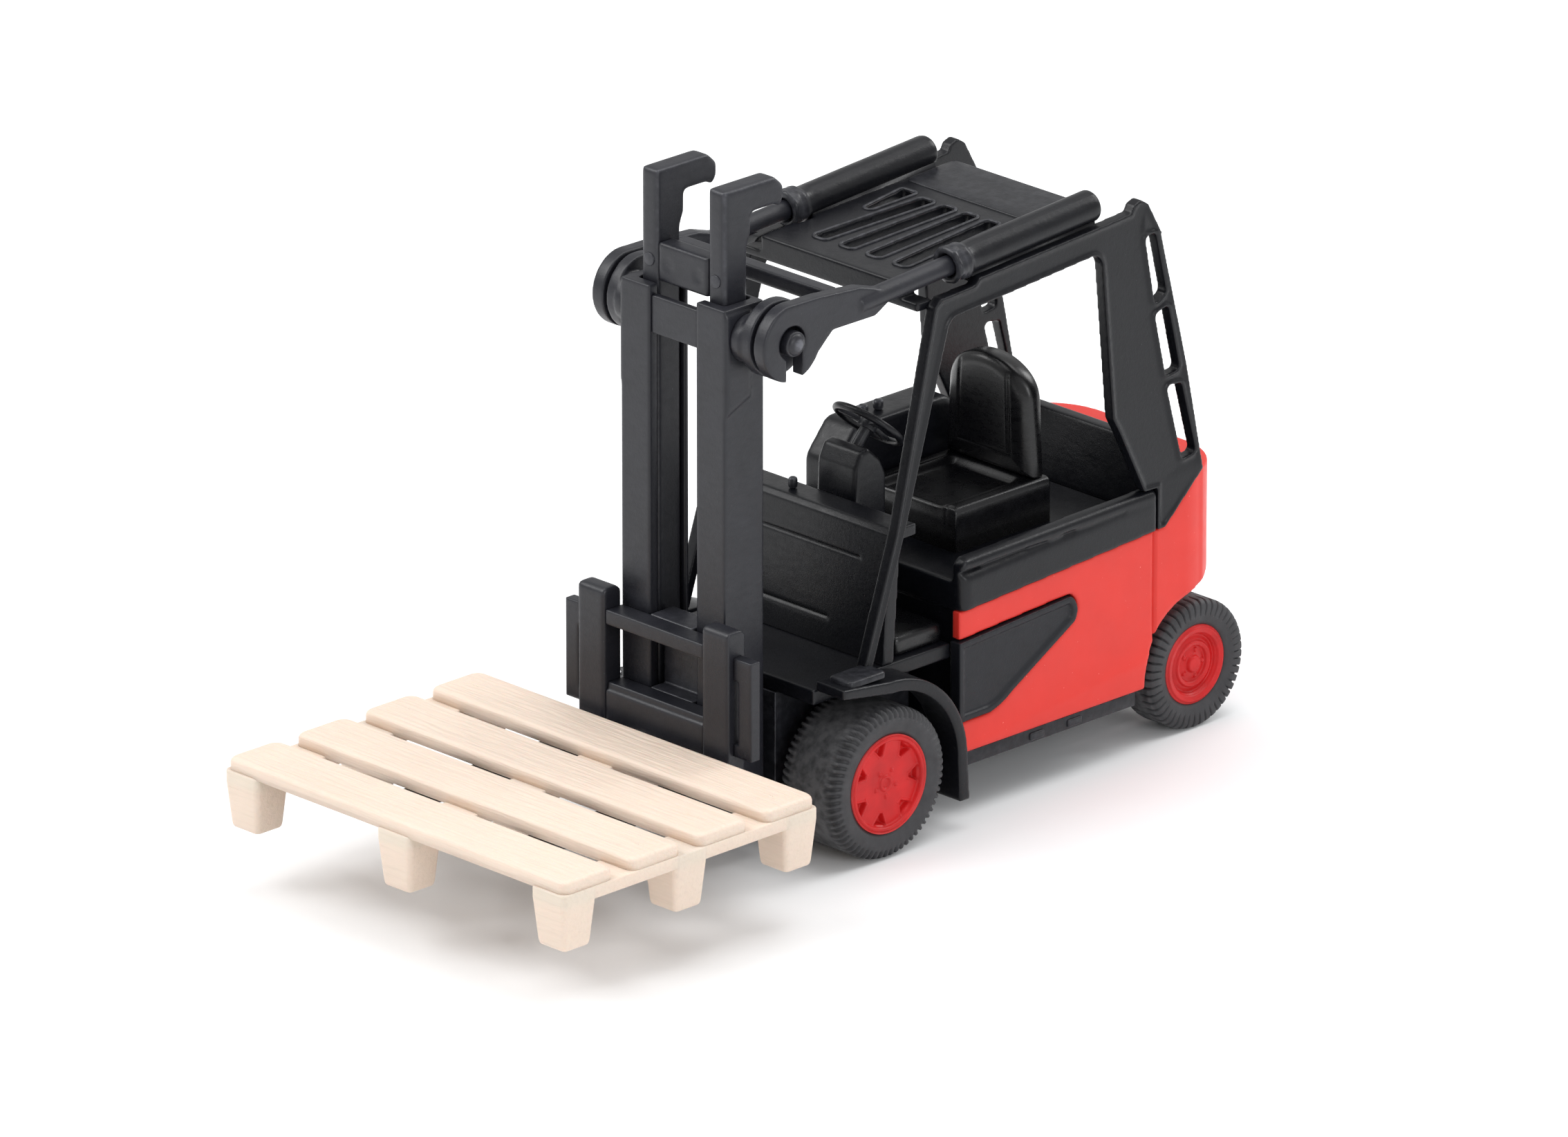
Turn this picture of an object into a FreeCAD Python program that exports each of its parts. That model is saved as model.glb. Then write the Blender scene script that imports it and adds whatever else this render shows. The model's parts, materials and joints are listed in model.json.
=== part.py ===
import FreeCAD, Part
import Sketcher
import math
import os
from FreeCAD import Placement, Rotation, Vector

# Toy forklift truck at 1:50, with a plastic pallet on its forks.
# Millimetres, +Z up, the truck faces -Y and its left side is +X.
# Every sub-part is drawn with the front axle at y = 0 and then moved by origin_shift,
# so that the origin lies on the ground under the middle of the whole toy.

doc = FreeCAD.newDocument("toy_forklift")
sheet = doc.addObject("Spreadsheet::Sheet", "Dims")

DRIVING = {
    "origin_shift": -0.75,
    # wheels and axles
    "front_axle_height": 5.9, "rear_axle_height": 5.1, "wheelbase": 35.6,
    "front_tyre_radius": 5.9, "rear_tyre_radius": 5.1,
    "front_rim_radius": 3.85, "rear_rim_radius": 3.15,
    "front_wheel_face": 12.4, "rear_wheel_face": 9.45,
    "front_tyre_width": 6.0, "rear_tyre_width": 3.6,
    "axle_radius": 0.75, "axle_clearance": 0.07,
    # body
    "body_half_width": 10.2, "wall": 1.2, "body_front": 9.7, "seam": 30.4,
    "skirt_bottom": 5.05, "belt_front": 16.3, "belt_rear": 17.45,
    "arch_radius": 6.4, "tail_end": 39.0, "tail_corner": 5.6, "tail_top": 21.2, "tail_bottom": 12.2,
    "rail_band_top": 20.9, "deck_height": 18.6, "floor_top": 13.8, "floor_bottom": 12.6,
    "cowl_top": 24.3, "keel_half_width": 5.2, "keel_bottom": 2.8,
    "keel_top": 6.9,
    "inset_gap": 0.1,
    # overhead guard
    "frame_inner": 9.2, "roof_front": 5.8, "roof_rear": 26.0, "roof_half_width": 7.38,
    "roof_front_top": 42.8, "roof_rear_top": 43.8, "roof_thickness": 1.1,
    "slot_width": 1.35, "slot_pitch": 2.83,
    # tilt gear
    "tilt_line_x": 8.63, "tilt_line_rise": 3.9, "tilt_line_height": 42.4,
    "eye_y": -7.0, "eye_height": 41.7,
    "cylinder_radius": 1.25, "collar_radius": 1.55, "rod_radius": 0.78, "rod_clearance": 0.07,
    "eye_radius": 3.0, "lug_pin_radius": 1.0, "eye_bore_radius": 1.3,
    # mast
    "mast_half_width": 5.5, "mast_front": -10.5, "mast_rear": -6.4, "mast_foot": 3.2,
    "mast_top": 44.1, "mast_gap": 2.45, "channel_web": 0.9, "flange_front": 0.9,
    "flange_rear": 0.45, "slide_gap": 0.15, "pivot_y": -8.4, "pivot_height": 4.9,
    "pivot_radius": 0.6, "hook_top": 52.8, "hook_reach": 6.2, "inner_foot": 7.6,
    # carriage and forks
    "fork_inner": 5.2, "fork_outer": 8.0, "shank_front": -12.65, "shank_rear": -10.75,
    "shank_top": 20.0, "fork_top": 8.35, "fork_thickness": 1.0, "fork_length": 22.0,
    "arm_outer": 9.9, "arm_top": 18.0, "arm_bottom": 10.2,
    # pallet
    "pallet_length": 36.4, "pallet_depth": 26.0, "pallet_rear": -13.2, "pallet_foot": 4.8,
    "board_bottom": 8.4, "board_top": 9.4, "slat_top": 10.4, "slat_width": 5.4,
    "foot_length": 3.6, "foot_depth": 3.4, "foot_draft": -5.0,
}


class Size:
    """A number that also carries the spreadsheet expression it comes from."""

    def __init__(self, value, text):
        self.value = value
        self.text = text

    def joined(self, sign, other, value):
        return Size(value, "(%s %s %s)" % (self.text, sign, as_size(other).text))

    def __add__(self, other):
        return self.joined("+", other, self.value + as_size(other).value)

    def __sub__(self, other):
        return self.joined("-", other, self.value - as_size(other).value)

    def __mul__(self, other):
        return self.joined("*", other, self.value * as_size(other).value)

    def __truediv__(self, other):
        return self.joined("/", other, self.value / as_size(other).value)

    def __radd__(self, other):
        return as_size(other) + self

    def __rsub__(self, other):
        return as_size(other) - self

    def __rmul__(self, other):
        return as_size(other) * self

    def __neg__(self):
        return Size(-self.value, "(0 - %s)" % self.text)


def as_size(item):
    return item if isinstance(item, Size) else Size(float(item), "%.4f" % item)


def fill_sheet():
    for row, (name, number) in enumerate(DRIVING.items(), start=1):
        sheet.set("A%d" % row, name)
        sheet.set("B%d" % row, str(number))
        sheet.setAlias("B%d" % row, name)
    doc.recompute()
    return {name: Size(number, "Dims.%s" % name) for name, number in DRIVING.items()}


D = fill_sheet()
subparts = []


def bind(item, path, size):
    item.setExpression(path, as_size(size).text)


def place(item, y=0.0, z=0.0):
    """Put a finished sub-part in the toy's frame and add it to the list to be written."""
    bind(item, ".Placement.Base.y", D["origin_shift"] + y)
    bind(item, ".Placement.Base.z", z)
    subparts.append(item)
    return item


# ---------------------------------------------------------------- sketches and bodies

PLANES = {"x": "YZ_Plane", "y": "XZ_Plane", "z": "XY_Plane"}


def new_body(label):
    body = doc.addObject("PartDesign::Body", label)
    body.Label = label
    return body


def new_sketch(body, axis, level):
    """A sketch across the axis. On the XZ plane the sketch faces -Y."""
    sketch = body.newObject("Sketcher::SketchObject", body.Name + "_sketch")
    role = PLANES[axis]
    plane = [item for item in body.Origin.OriginFeatures if item.Role == role][0]
    sketch.AttachmentSupport = [(plane, "")]
    sketch.MapMode = "FlatFace"
    offset = -as_size(level) if axis == "y" else as_size(level)
    bind(sketch, ".AttachmentOffset.Base.z", offset)
    return sketch


def arc_geometry(start, end, radius):
    """The short arc from start to end; a positive radius turns to the left."""
    chord = end - start
    height = math.sqrt(radius ** 2 - (chord.Length / 2) ** 2)
    side = Vector(-chord.y, chord.x, 0).normalize() * math.copysign(height, radius)
    centre = (start + end) * 0.5 + side
    first, last = (start, end) if radius > 0 else (end, start)
    low = math.atan2(first.y - centre.y, first.x - centre.x)
    high = math.atan2(last.y - centre.y, last.x - centre.x)
    circle = Part.Circle(centre, Vector(0, 0, 1), abs(radius))
    return Part.ArcOfCircle(circle, low, high if high > low else high + 2 * math.pi)


def outline(sketch, corners):
    """A closed outline. A corner is (u, v), or (u, v, radius) where an arc leaves it."""
    points = [Vector(as_size(c[0]).value, as_size(c[1]).value, 0) for c in corners]
    ends = []
    for index, corner in enumerate(corners):
        start, end = points[index], points[(index + 1) % len(points)]
        if len(corner) == 2:
            number = sketch.addGeometry(Part.LineSegment(start, end), False)
            ends.append((number, 1, 2))
            continue
        radius = as_size(corner[2])
        number = sketch.addGeometry(arc_geometry(start, end, radius.value), False)
        ends.append((number, 1, 2) if radius.value > 0 else (number, 2, 1))
        row = sketch.addConstraint(Sketcher.Constraint("Radius", number, abs(radius.value)))
        turned = radius if radius.value > 0 else -radius
        bind(sketch, "Constraints[%d]" % row, turned)
    for index, corner in enumerate(corners):
        number, first, last = ends[index]
        following = ends[(index + 1) % len(ends)]
        sketch.addConstraint(Sketcher.Constraint("Coincident", number, last, following[0], following[1]))
        for kind, size in (("DistanceX", as_size(corner[0])), ("DistanceY", as_size(corner[1]))):
            row = sketch.addConstraint(Sketcher.Constraint(kind, -1, 1, number, first, size.value))
            bind(sketch, "Constraints[%d]" % row, size)


def circle(sketch, centre, radius):
    u, v, radius = as_size(centre[0]), as_size(centre[1]), as_size(radius)
    shape = Part.Circle(Vector(u.value, v.value, 0), Vector(0, 0, 1), radius.value)
    number = sketch.addGeometry(shape, False)
    for kind, size in (("DistanceX", u), ("DistanceY", v)):
        row = sketch.addConstraint(Sketcher.Constraint(kind, -1, 1, number, 3, size.value))
        bind(sketch, "Constraints[%d]" % row, size)
    row = sketch.addConstraint(Sketcher.Constraint("Radius", number, radius.value))
    bind(sketch, "Constraints[%d]" % row, radius)


def draw(sketch, shape):
    """A shape is a list of corners, or a dictionary with the centre and radius of a circle."""
    if isinstance(shape, dict):
        circle(sketch, shape["centre"], shape["radius"])
    else:
        outline(sketch, shape)


def pad(body, axis, shape, start, stop):
    start, stop = as_size(start), as_size(stop)
    sketch = new_sketch(body, axis, stop if axis == "y" else start)
    draw(sketch, shape)
    feature = body.newObject("PartDesign::Pad", body.Name + "_pad")
    feature.Profile = sketch
    bind(feature, "Length", stop - start)
    doc.recompute()
    return feature


def pocket(body, axis, shape, start, stop):
    start, stop = as_size(start), as_size(stop)
    before = body.Shape.Volume
    sketch = new_sketch(body, axis, start if axis == "y" else stop)
    draw(sketch, shape)
    feature = body.newObject("PartDesign::Pocket", body.Name + "_pocket")
    feature.Profile = sketch
    bind(feature, "Length", stop - start)
    doc.recompute()
    if not body.Shape.Volume < before - 1e-4:
        raise RuntimeError("%s cuts nothing" % feature.Name)
    return feature


def revolve(body, corners):
    """Turn an outline of (x, radius) corners about the body's own X axis."""
    sketch = new_sketch(body, "y", 0)
    outline(sketch, corners)
    feature = body.newObject("PartDesign::Revolution", body.Name + "_turned")
    feature.Profile = sketch
    feature.ReferenceAxis = (sketch, ["H_Axis"])
    feature.Angle = 360
    doc.recompute()
    return feature


def round_edges(body, radius, wanted):
    """Fillet every edge of the body for which wanted(middle, direction) is true."""
    base = body.Tip
    names = []
    for index, edge in enumerate(body.Shape.Edges, start=1):
        middle = edge.valueAt((edge.FirstParameter + edge.LastParameter) / 2)
        direction = edge.tangentAt((edge.FirstParameter + edge.LastParameter) / 2)
        if wanted(middle, direction):
            names.append("Edge%d" % index)
    feature = body.newObject("PartDesign::Fillet", body.Name + "_round")
    feature.Base = (base, names)
    bind(feature, "Radius", radius)
    doc.recompute()
    return feature


def box(x0, x1, y0, y1):
    return [(x0, y0), (x1, y0), (x1, y1), (x0, y1)]


def span(side, near, far):
    """The x range of a piece that is repeated on the left (side 1) and the right (side -1)."""
    near, far = as_size(near), as_size(far)
    return (near, far) if side > 0 else (-far, -near)


SIDES = (("left", 1), ("right", -1))


def plain(kind, label, **sizes):
    """A Part primitive with its sizes bound to the sheet."""
    item = doc.addObject("Part::" + kind, label)
    item.Label = label
    for name, size in sizes.items():
        bind(item, name, size)
    return item


def boolean(kind, label, base, tool):
    item = doc.addObject("Part::" + kind, label)
    item.Label = label
    item.Base = base
    item.Tool = tool
    return item


def group(label, items):
    item = doc.addObject("Part::Compound", label)
    item.Label = label
    item.Links = items
    return item


def aim(item, x, y, z, axis, angle):
    """Stand a primitive at a point with its Z axis turned about the given axis."""
    item.Placement = Placement(Vector(), Rotation(axis, angle))
    bind(item, ".Placement.Base.x", x)
    bind(item, ".Placement.Base.y", y)
    bind(item, ".Placement.Base.z", z)
    return item


ALONG_X = (Vector(0, 1, 0), 90)
TUBE_START = 9.4
TUBE_LENGTH = 15.3


# ---------------------------------------------------------------- wheels and axles

def make_tyre(label, side, face, width, radius, bore):
    body = new_body(label)
    near, far = span(side, face - width, face)
    shoulder = 0.45
    revolve(body, [(near, bore), (far, bore), (far, radius - shoulder), (far - shoulder, radius),
                   (near + shoulder, radius), (near, radius - shoulder)])
    return body


def make_front_rim(label, side):
    """A dished disc with a raised lip, seven rounded recesses and a small centre cap."""
    body = new_body(label)
    face, radius = D["front_wheel_face"], D["front_rim_radius"]
    inner = face - D["front_tyre_width"] + 0.2
    hub = face - 1.1
    corners = [(inner, D["axle_radius"]), (hub, D["axle_radius"]), (hub, 0), (face - 0.3, 0),
               (face - 0.3, 0.45), (face - 0.45, 0.55), (face - 0.4, 2.9), (face - 0.6, 3.1),
               (face - 0.6, 3.35), (face - 0.2, 3.5), (face - 0.15, 3.7), (face - 0.25, radius),
               (inner, radius)]
    if side < 0:
        corners = [(-as_size(x), r) for x, r in corners]
    revolve(body, corners)
    start, stop = span(side, face - 0.8, face)
    recess = pocket(body, "x", [(-0.42, 2.75), (0, 1.95), (0.42, 2.75)], start, stop)
    pattern = body.newObject("PartDesign::PolarPattern", label + "_recesses")
    pattern.Originals = [recess]
    pattern.Axis = (recess.Profile[0], ["N_Axis"])
    pattern.Angle = 360
    pattern.Occurrences = 7
    body.Tip = pattern
    doc.recompute()
    return body


def make_rear_rim(label, side):
    """A stepped rim with two rings round a blunt hub."""
    body = new_body(label)
    face, radius = D["rear_wheel_face"], D["rear_rim_radius"]
    inner = face - D["rear_tyre_width"] + 0.2
    hub = face - 1.0
    corners = [(inner, D["axle_radius"]), (hub, D["axle_radius"]), (hub, 0), (face - 0.15, 0),
               (face - 0.15, 0.6), (face - 0.35, 0.85), (face - 0.8, 0.95), (face - 0.8, 1.5),
               (face - 0.4, 1.6), (face - 0.35, 1.9), (face - 0.6, 2.1), (face - 0.6, 2.5),
               (face - 0.2, 2.65), (face - 0.15, 2.95), (face - 0.25, radius), (inner, radius)]
    if side < 0:
        corners = [(-as_size(x), r) for x, r in corners]
    revolve(body, corners)
    return body


def make_axle_set(place_name, axle_y, axle_height, face, width, tyre_radius, rim_radius, make_rim):
    rod = plain("Cylinder", place_name + "_axle", Radius=D["axle_radius"], Height=(face - 1.2) * 2)
    rod.Placement = Placement(Vector(), Rotation(*ALONG_X))
    bind(rod, ".Placement.Base.x", -(face - 1.2))
    place(rod, axle_y, axle_height)
    for word, side in SIDES:
        place(make_rim("%s_rim_%s" % (place_name, word), side), axle_y, axle_height)
        tyre = make_tyre("%s_tyre_%s" % (place_name, word), side, face, width, tyre_radius, rim_radius)
        place(tyre, axle_y, axle_height)


make_axle_set("front", as_size(0), D["front_axle_height"], D["front_wheel_face"],
              D["front_tyre_width"], D["front_tyre_radius"], D["front_rim_radius"], make_front_rim)
make_axle_set("rear", D["wheelbase"], D["rear_axle_height"], D["rear_wheel_face"],
              D["rear_tyre_width"], D["rear_tyre_radius"], D["rear_rim_radius"], make_rear_rim)


# ---------------------------------------------------------------- chassis

RIVET_PLACES = (16.0, 26.0)


def make_chassis():
    """Keel, front pedestal, side sills and the two ears that hold the mast's pivot pin."""
    body = new_body("chassis_base")
    half = D["keel_half_width"]
    pad(body, "z", box(-half, half, -5.0, 38.0), D["keel_bottom"], D["keel_top"])
    pad(body, "z", box(-half, half, -5.0, 9.0), D["keel_top"] - 0.1, D["floor_bottom"])
    pad(body, "z", box(-10.0, 10.0, D["body_front"], 28.3), 3.95, D["skirt_bottom"])
    for side in (1, -1):
        start, stop = span(side, 1.0, 2.2)
        pad(body, "x", box(-9.5, -4.9, 3.6, 6.2), start, stop)
    bore = D["axle_radius"] + D["axle_clearance"]
    for axle_y, height in ((as_size(0), D["front_axle_height"]), (D["wheelbase"], D["rear_axle_height"])):
        pocket(body, "x", {"centre": (axle_y, height), "radius": bore}, -11, 11)
    hole = {"centre": (D["pivot_y"], D["pivot_height"]), "radius": D["pivot_radius"]}
    pocket(body, "x", hole, -3, 3)
    for rivet_y in RIVET_PLACES:
        well = {"centre": (0, rivet_y), "radius": 1.6}
        pocket(body, "z", well, D["keel_bottom"] - 1, D["keel_bottom"] + 0.6)
    return body


place(make_chassis())

rivets = []
for rivet_y in RIVET_PLACES:
    rivet = plain("Cylinder", "rivet_%d" % rivet_y, Radius=1.1, Height=0.5)
    rivets.append(aim(rivet, 0, rivet_y, D["keel_bottom"] + 0.1, Vector(0, 0, 1), 0))
place(group("chassis_rivets", rivets))

pivot = plain("Cylinder", "mast_pivot_pin", Radius=D["pivot_radius"], Height=10.8)
pivot.Placement = Placement(Vector(), Rotation(*ALONG_X))
bind(pivot, ".Placement.Base.x", -5.4)
place(pivot, D["pivot_y"], D["pivot_height"])


# ---------------------------------------------------------------- red casting and black insets

def inset_outline(grow):
    """The swept panel in each side, larger by grow for the window that holds it."""
    front = D["body_front"] - 0.2 - grow * 6
    return [(front, 7.55 - grow), (12.7, 7.6 - grow, 6.0), (15.1 + grow, 8.7 - grow),
            (21.7 + grow, 12.5 - grow, 1.4), (21.3 + grow, 14.6 + grow), (front, 13.9 + grow)]


def make_casting():
    """Two side skirts and the counterweight in one piece, with the wheel arch cut through."""
    body = new_body("body_casting")
    half = D["body_half_width"]
    arch = D["arch_radius"]
    axle, height = D["wheelbase"], D["rear_axle_height"]
    low, high = axle - arch, height + arch
    pad(body, "x", [(D["body_front"], D["skirt_bottom"]), (low, D["skirt_bottom"], -arch),
                    (axle - 1.4, high - 0.15), (D["tail_end"], D["tail_bottom"] + 0.8),
                    (D["tail_end"], D["tail_top"]), (35.3, D["tail_top"]), (31.3, D["belt_rear"]),
                    (D["seam"], D["belt_rear"]), (D["body_front"], D["belt_front"])], -half, half)
    flat = half - D["tail_corner"]
    bend = D["tail_end"] - D["tail_corner"]
    for side in (1, -1):
        pocket(body, "z", [(half * side, bend), ((half + 1) * side, bend),
                           ((half + 1) * side, D["tail_end"] + 1), (flat * side, D["tail_end"] + 1),
                           (flat * side, D["tail_end"], D["tail_corner"] * -side)], 4.0, 22.0)
    inside = half - D["wall"]
    pocket(body, "z", box(-inside, inside, 9.0, D["seam"]), 4.0, 18.0)
    start = half - 3.0
    pocket(body, "x", inset_outline(D["inset_gap"]), start, half + 1)
    pocket(body, "x", inset_outline(D["inset_gap"]), -half - 1, -start)
    for side in (1, -1):
        near, far = span(side, half - 0.15, half + 1)
        pocket(body, "x", box(D["seam"] - 0.1, D["seam"] + 0.1, 8.0, 20.0), near, far)
    return body


place(make_casting())

for word, side in SIDES:
    inset = new_body("side_inset_" + word)
    near, far = span(side, D["body_half_width"] - D["wall"], D["body_half_width"] - 0.1)
    pad(inset, "x", inset_outline(as_size(0)), near, far)
    place(inset)


# ---------------------------------------------------------------- cab

def make_tub():
    """Deck with a raised rim each side, over a hollow seat box that fills the casting."""
    body = new_body("cab_tub")
    half = D["body_half_width"]
    front = D["body_front"]
    inner = half - D["wall"]
    pad(body, "x", [(front, D["belt_front"]), (D["seam"], D["belt_rear"]),
                    (D["seam"], D["rail_band_top"]), (front + 0.5, D["rail_band_top"] - 0.4),
                    (front, D["rail_band_top"] - 0.9)], -half, half)
    pocket(body, "z", box(-inner, inner, 9.0, 31.0), D["deck_height"], 22.0)
    pad(body, "z", box(-inner, inner, 10.0, D["seam"]), D["keel_top"], D["deck_height"])
    pocket(body, "z", box(1.0 - inner, inner - 1.0, 11.0, D["seam"] - 1.0), 5.0, D["deck_height"] - 1.2)
    for side in (1, -1):
        near, far = span(side, half - 0.12, half + 1)
        pocket(body, "x", [(9.0, 19.35), (31.0, 20.05), (31.0, 20.2), (9.0, 19.5)], near, far)
    return body


place(make_tub())

floor = new_body("floor_plate")
pad(floor, "z", box(-9.15, 9.15, -4.9, 9.45), D["floor_bottom"], D["floor_top"])
place(floor)

step = new_body("footwell_step")
pad(step, "z", box(3.4, 8.4, 4.4, 9.4), D["floor_top"], 15.3)
round_edges(step, 0.4, lambda p, d: p.z > 15.2 or abs(d.z) > 0.9)
place(step)


def make_cowl():
    """Sloping front panel with two pressed grooves and a ledge along its top."""
    body = new_body("front_cowl")
    top = D["cowl_top"]
    pad(body, "x", [(2.3, D["floor_top"]), (3.1, top - 0.4), (3.5, top), (5.8, top),
                    (5.8, top - 0.9), (4.2, top - 1.0), (3.5, D["floor_top"])], -9.15, 9.15)
    pocket(body, "x", [(2.0, 21.3), (3.1, 21.3), (3.1, 21.6), (2.0, 21.6)], -8.6, 6.2)
    pocket(body, "x", [(2.0, 15.9), (2.7, 15.9), (2.7, 16.2), (2.0, 16.2)], -8.6, 3.2)
    return body


place(make_cowl())

ledge = new_body("rear_ledge")
pad(ledge, "x", [(D["seam"], 17.6), (31.3, 17.6), (34.7, 20.75), (34.7, 21.9), (33.4, 23.3),
                 (32.4, 23.3), (D["seam"], D["deck_height"])], -9.1, 9.1)
place(ledge)


def make_cushion():
    body = new_body("seat_cushion")
    pad(body, "x", [(14.1, D["deck_height"]), (24.1, D["deck_height"]), (24.1, 21.4),
                    (22.6, 22.1), (15.2, 22.1), (14.1, 21.5)], -5.0, 5.0)
    pocket(body, "z", box(-3.2, 3.2, 15.6, 21.6), 21.8, 23.0)
    round_edges(body, 0.5, lambda p, d: abs(d.z) > 0.9 and p.z < 21.6 and abs(p.x) > 4.9)
    return body


place(make_cushion())


def make_backrest():
    """Rounded back with a raised bolster along each side."""
    body = new_body("seat_backrest")
    pad(body, "y", [(-4.6, 22.15), (4.6, 22.15), (4.6, 26.6, 30.0), (3.9, 29.3, 3.4), (1.6, 31.0, 9.0),
                    (-1.6, 31.0, 3.4), (-3.9, 29.3, 30.0), (-4.6, 26.6)], 21.9, 24.1)
    pocket(body, "y", [(-3.1, 22.0), (3.1, 22.0), (3.1, 28.4, 2.6), (0.8, 30.1),
                       (-0.8, 30.1, 2.6), (-3.1, 28.4)], 21.0, 22.35)
    return body


place(make_backrest())

column = new_body("steering_column")
pad(column, "x", [(5.9, D["floor_top"]), (9.65, D["floor_top"]), (9.65, 25.6), (9.2, 26.59),
                  (7.9, 27.76), (7.1, 27.6), (6.5, 26.4)], -2.1, 2.1)
round_edges(column, 0.35, lambda p, d: abs(p.x) > 2.0 and p.z > 20)
place(column)

WHEEL_CENTRE = (0.0, 9.85, 28.7)
WHEEL_TILT = -42.0


def make_steering_wheel():
    """Ring, three spokes, hub and the short shaft that leads down to the column."""
    ring = plain("Torus", "wheel_ring", Radius1=2.75, Radius2=0.28)
    hub = plain("Cylinder", "wheel_hub", Radius=0.75, Height=0.7)
    shaft = plain("Cylinder", "wheel_shaft", Radius=0.45, Height=1.7)
    bind(hub, ".Placement.Base.z", -0.45)
    bind(shaft, ".Placement.Base.z", -2.0)
    pieces = [ring, hub, shaft]
    for index in range(3):
        spoke = plain("Box", "wheel_spoke_%d" % index, Length=2.7, Width=0.5, Height=0.3)
        turn = Rotation(Vector(0, 0, 1), 90 + 120 * index)
        spoke.Placement = Placement(turn.multVec(Vector(0, -0.25, -0.15)), turn)
        pieces.append(spoke)
    wheel = doc.addObject("Part::MultiFuse", "steering_wheel")
    wheel.Label = "steering_wheel"
    wheel.Shapes = pieces
    wheel.Placement = Placement(Vector(), Rotation(Vector(1, 0, 0), WHEEL_TILT))
    return wheel


place(make_steering_wheel(), WHEEL_CENTRE[1], WHEEL_CENTRE[2])

console = new_body("control_console")
pad(console, "x", [(12.0, D["deck_height"]), (25.4, D["deck_height"]), (25.4, 24.4), (23.8, 26.0),
                   (14.2, 26.0), (12.0, 23.4)], -9.0, -5.5)
round_edges(console, 1.2, lambda p, d: abs(d.x) > 0.9 and p.z > 22)
round_edges(console, 0.35, lambda p, d: abs(d.x) < 0.2 and p.z > 19 and p.x > -5.6)
place(console)

levers = []
for index, lever_y in enumerate((14.6, 16.2, 17.8)):
    lever = plain("Cylinder", "lever_%d" % index, Radius=0.4, Height=0.8)
    levers.append(aim(lever, -7.0, lever_y, 26.0, Vector(1, 0, 0), 0))
place(group("control_levers", levers))

knob = plain("Cylinder", "dash_knob", Radius=0.35, Height=0.9)
bind(knob, ".Placement.Base.x", -2.6)
place(knob, 4.5, D["cowl_top"])


# ---------------------------------------------------------------- mudguards

for word, side in SIDES:
    fender = new_body("fender_" + word)
    near, far = span(side, 9.15, 12.2)
    pad(fender, "x", [(-4.7, 14.55), (-4.7, 13.75), (0.3, 12.95, -7.05), (7.35, 5.9), (7.5, 2.4),
                      (8.6, 2.4), (8.35, 5.9, 8.05), (0.3, 13.95)], near, far)
    place(fender)


# ---------------------------------------------------------------- overhead guard

def in_slot(point):
    """Whether a point lies in front of the rear pillar's outer edge."""
    edge = 35.0 - (point.z - 21.3) * 0.222
    return point.y < edge


def make_guard_frame(label, side):
    """One side of the guard: front pillar, roof rail and the wide rear pillar with its slots."""
    body = new_body(label)
    near, far = span(side, D["frame_inner"], D["body_half_width"])
    pad(body, "x", [(-0.75, 14.08), (0.15, 14.08), (3.75, 24.6), (8.35, 40.0), (24.3, 41.2),
                    (25.6, 27.6), (26.3, 26.4), (29.0, 20.95), (30.45, 20.9), (30.45, 17.55),
                    (31.3, 17.6), (35.3, 21.3), (33.4, 30.3), (30.5, 41.6), (29.2, 43.9),
                    (28.4, 44.4), (27.7, 44.1), (27.4, 43.55), (24.9, 43.36), (11.4, 42.48),
                    (10.9, 42.0), (7.4, 41.8), (6.7, 41.2),
                    (2.75, 24.4)], near, far)
    for slot in ([(28.9, 41.3), (30.0, 41.4), (31.2, 36.4), (30.0, 35.6)],
                 [(30.0, 34.9), (31.4, 35.3), (32.7, 29.9), (31.2, 29.7)],
                 [(31.3, 28.9), (32.9, 28.7), (34.5, 22.8), (33.0, 22.6)]):
        pocket(body, "x", slot, near - 1, far + 1)
    round_edges(body, 0.35, lambda p, d: abs(d.x) > 0.9 and p.y > 28.8 and 22.5 < p.z < 41.55 and in_slot(p))
    round_edges(body, 1.1, lambda p, d: abs(d.x) > 0.9 and 8.0 < p.y < 25.0 and 39.5 < p.z < 41.4)
    return body


for word, side in SIDES:
    place(make_guard_frame("guard_frame_" + word, side))


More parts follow.
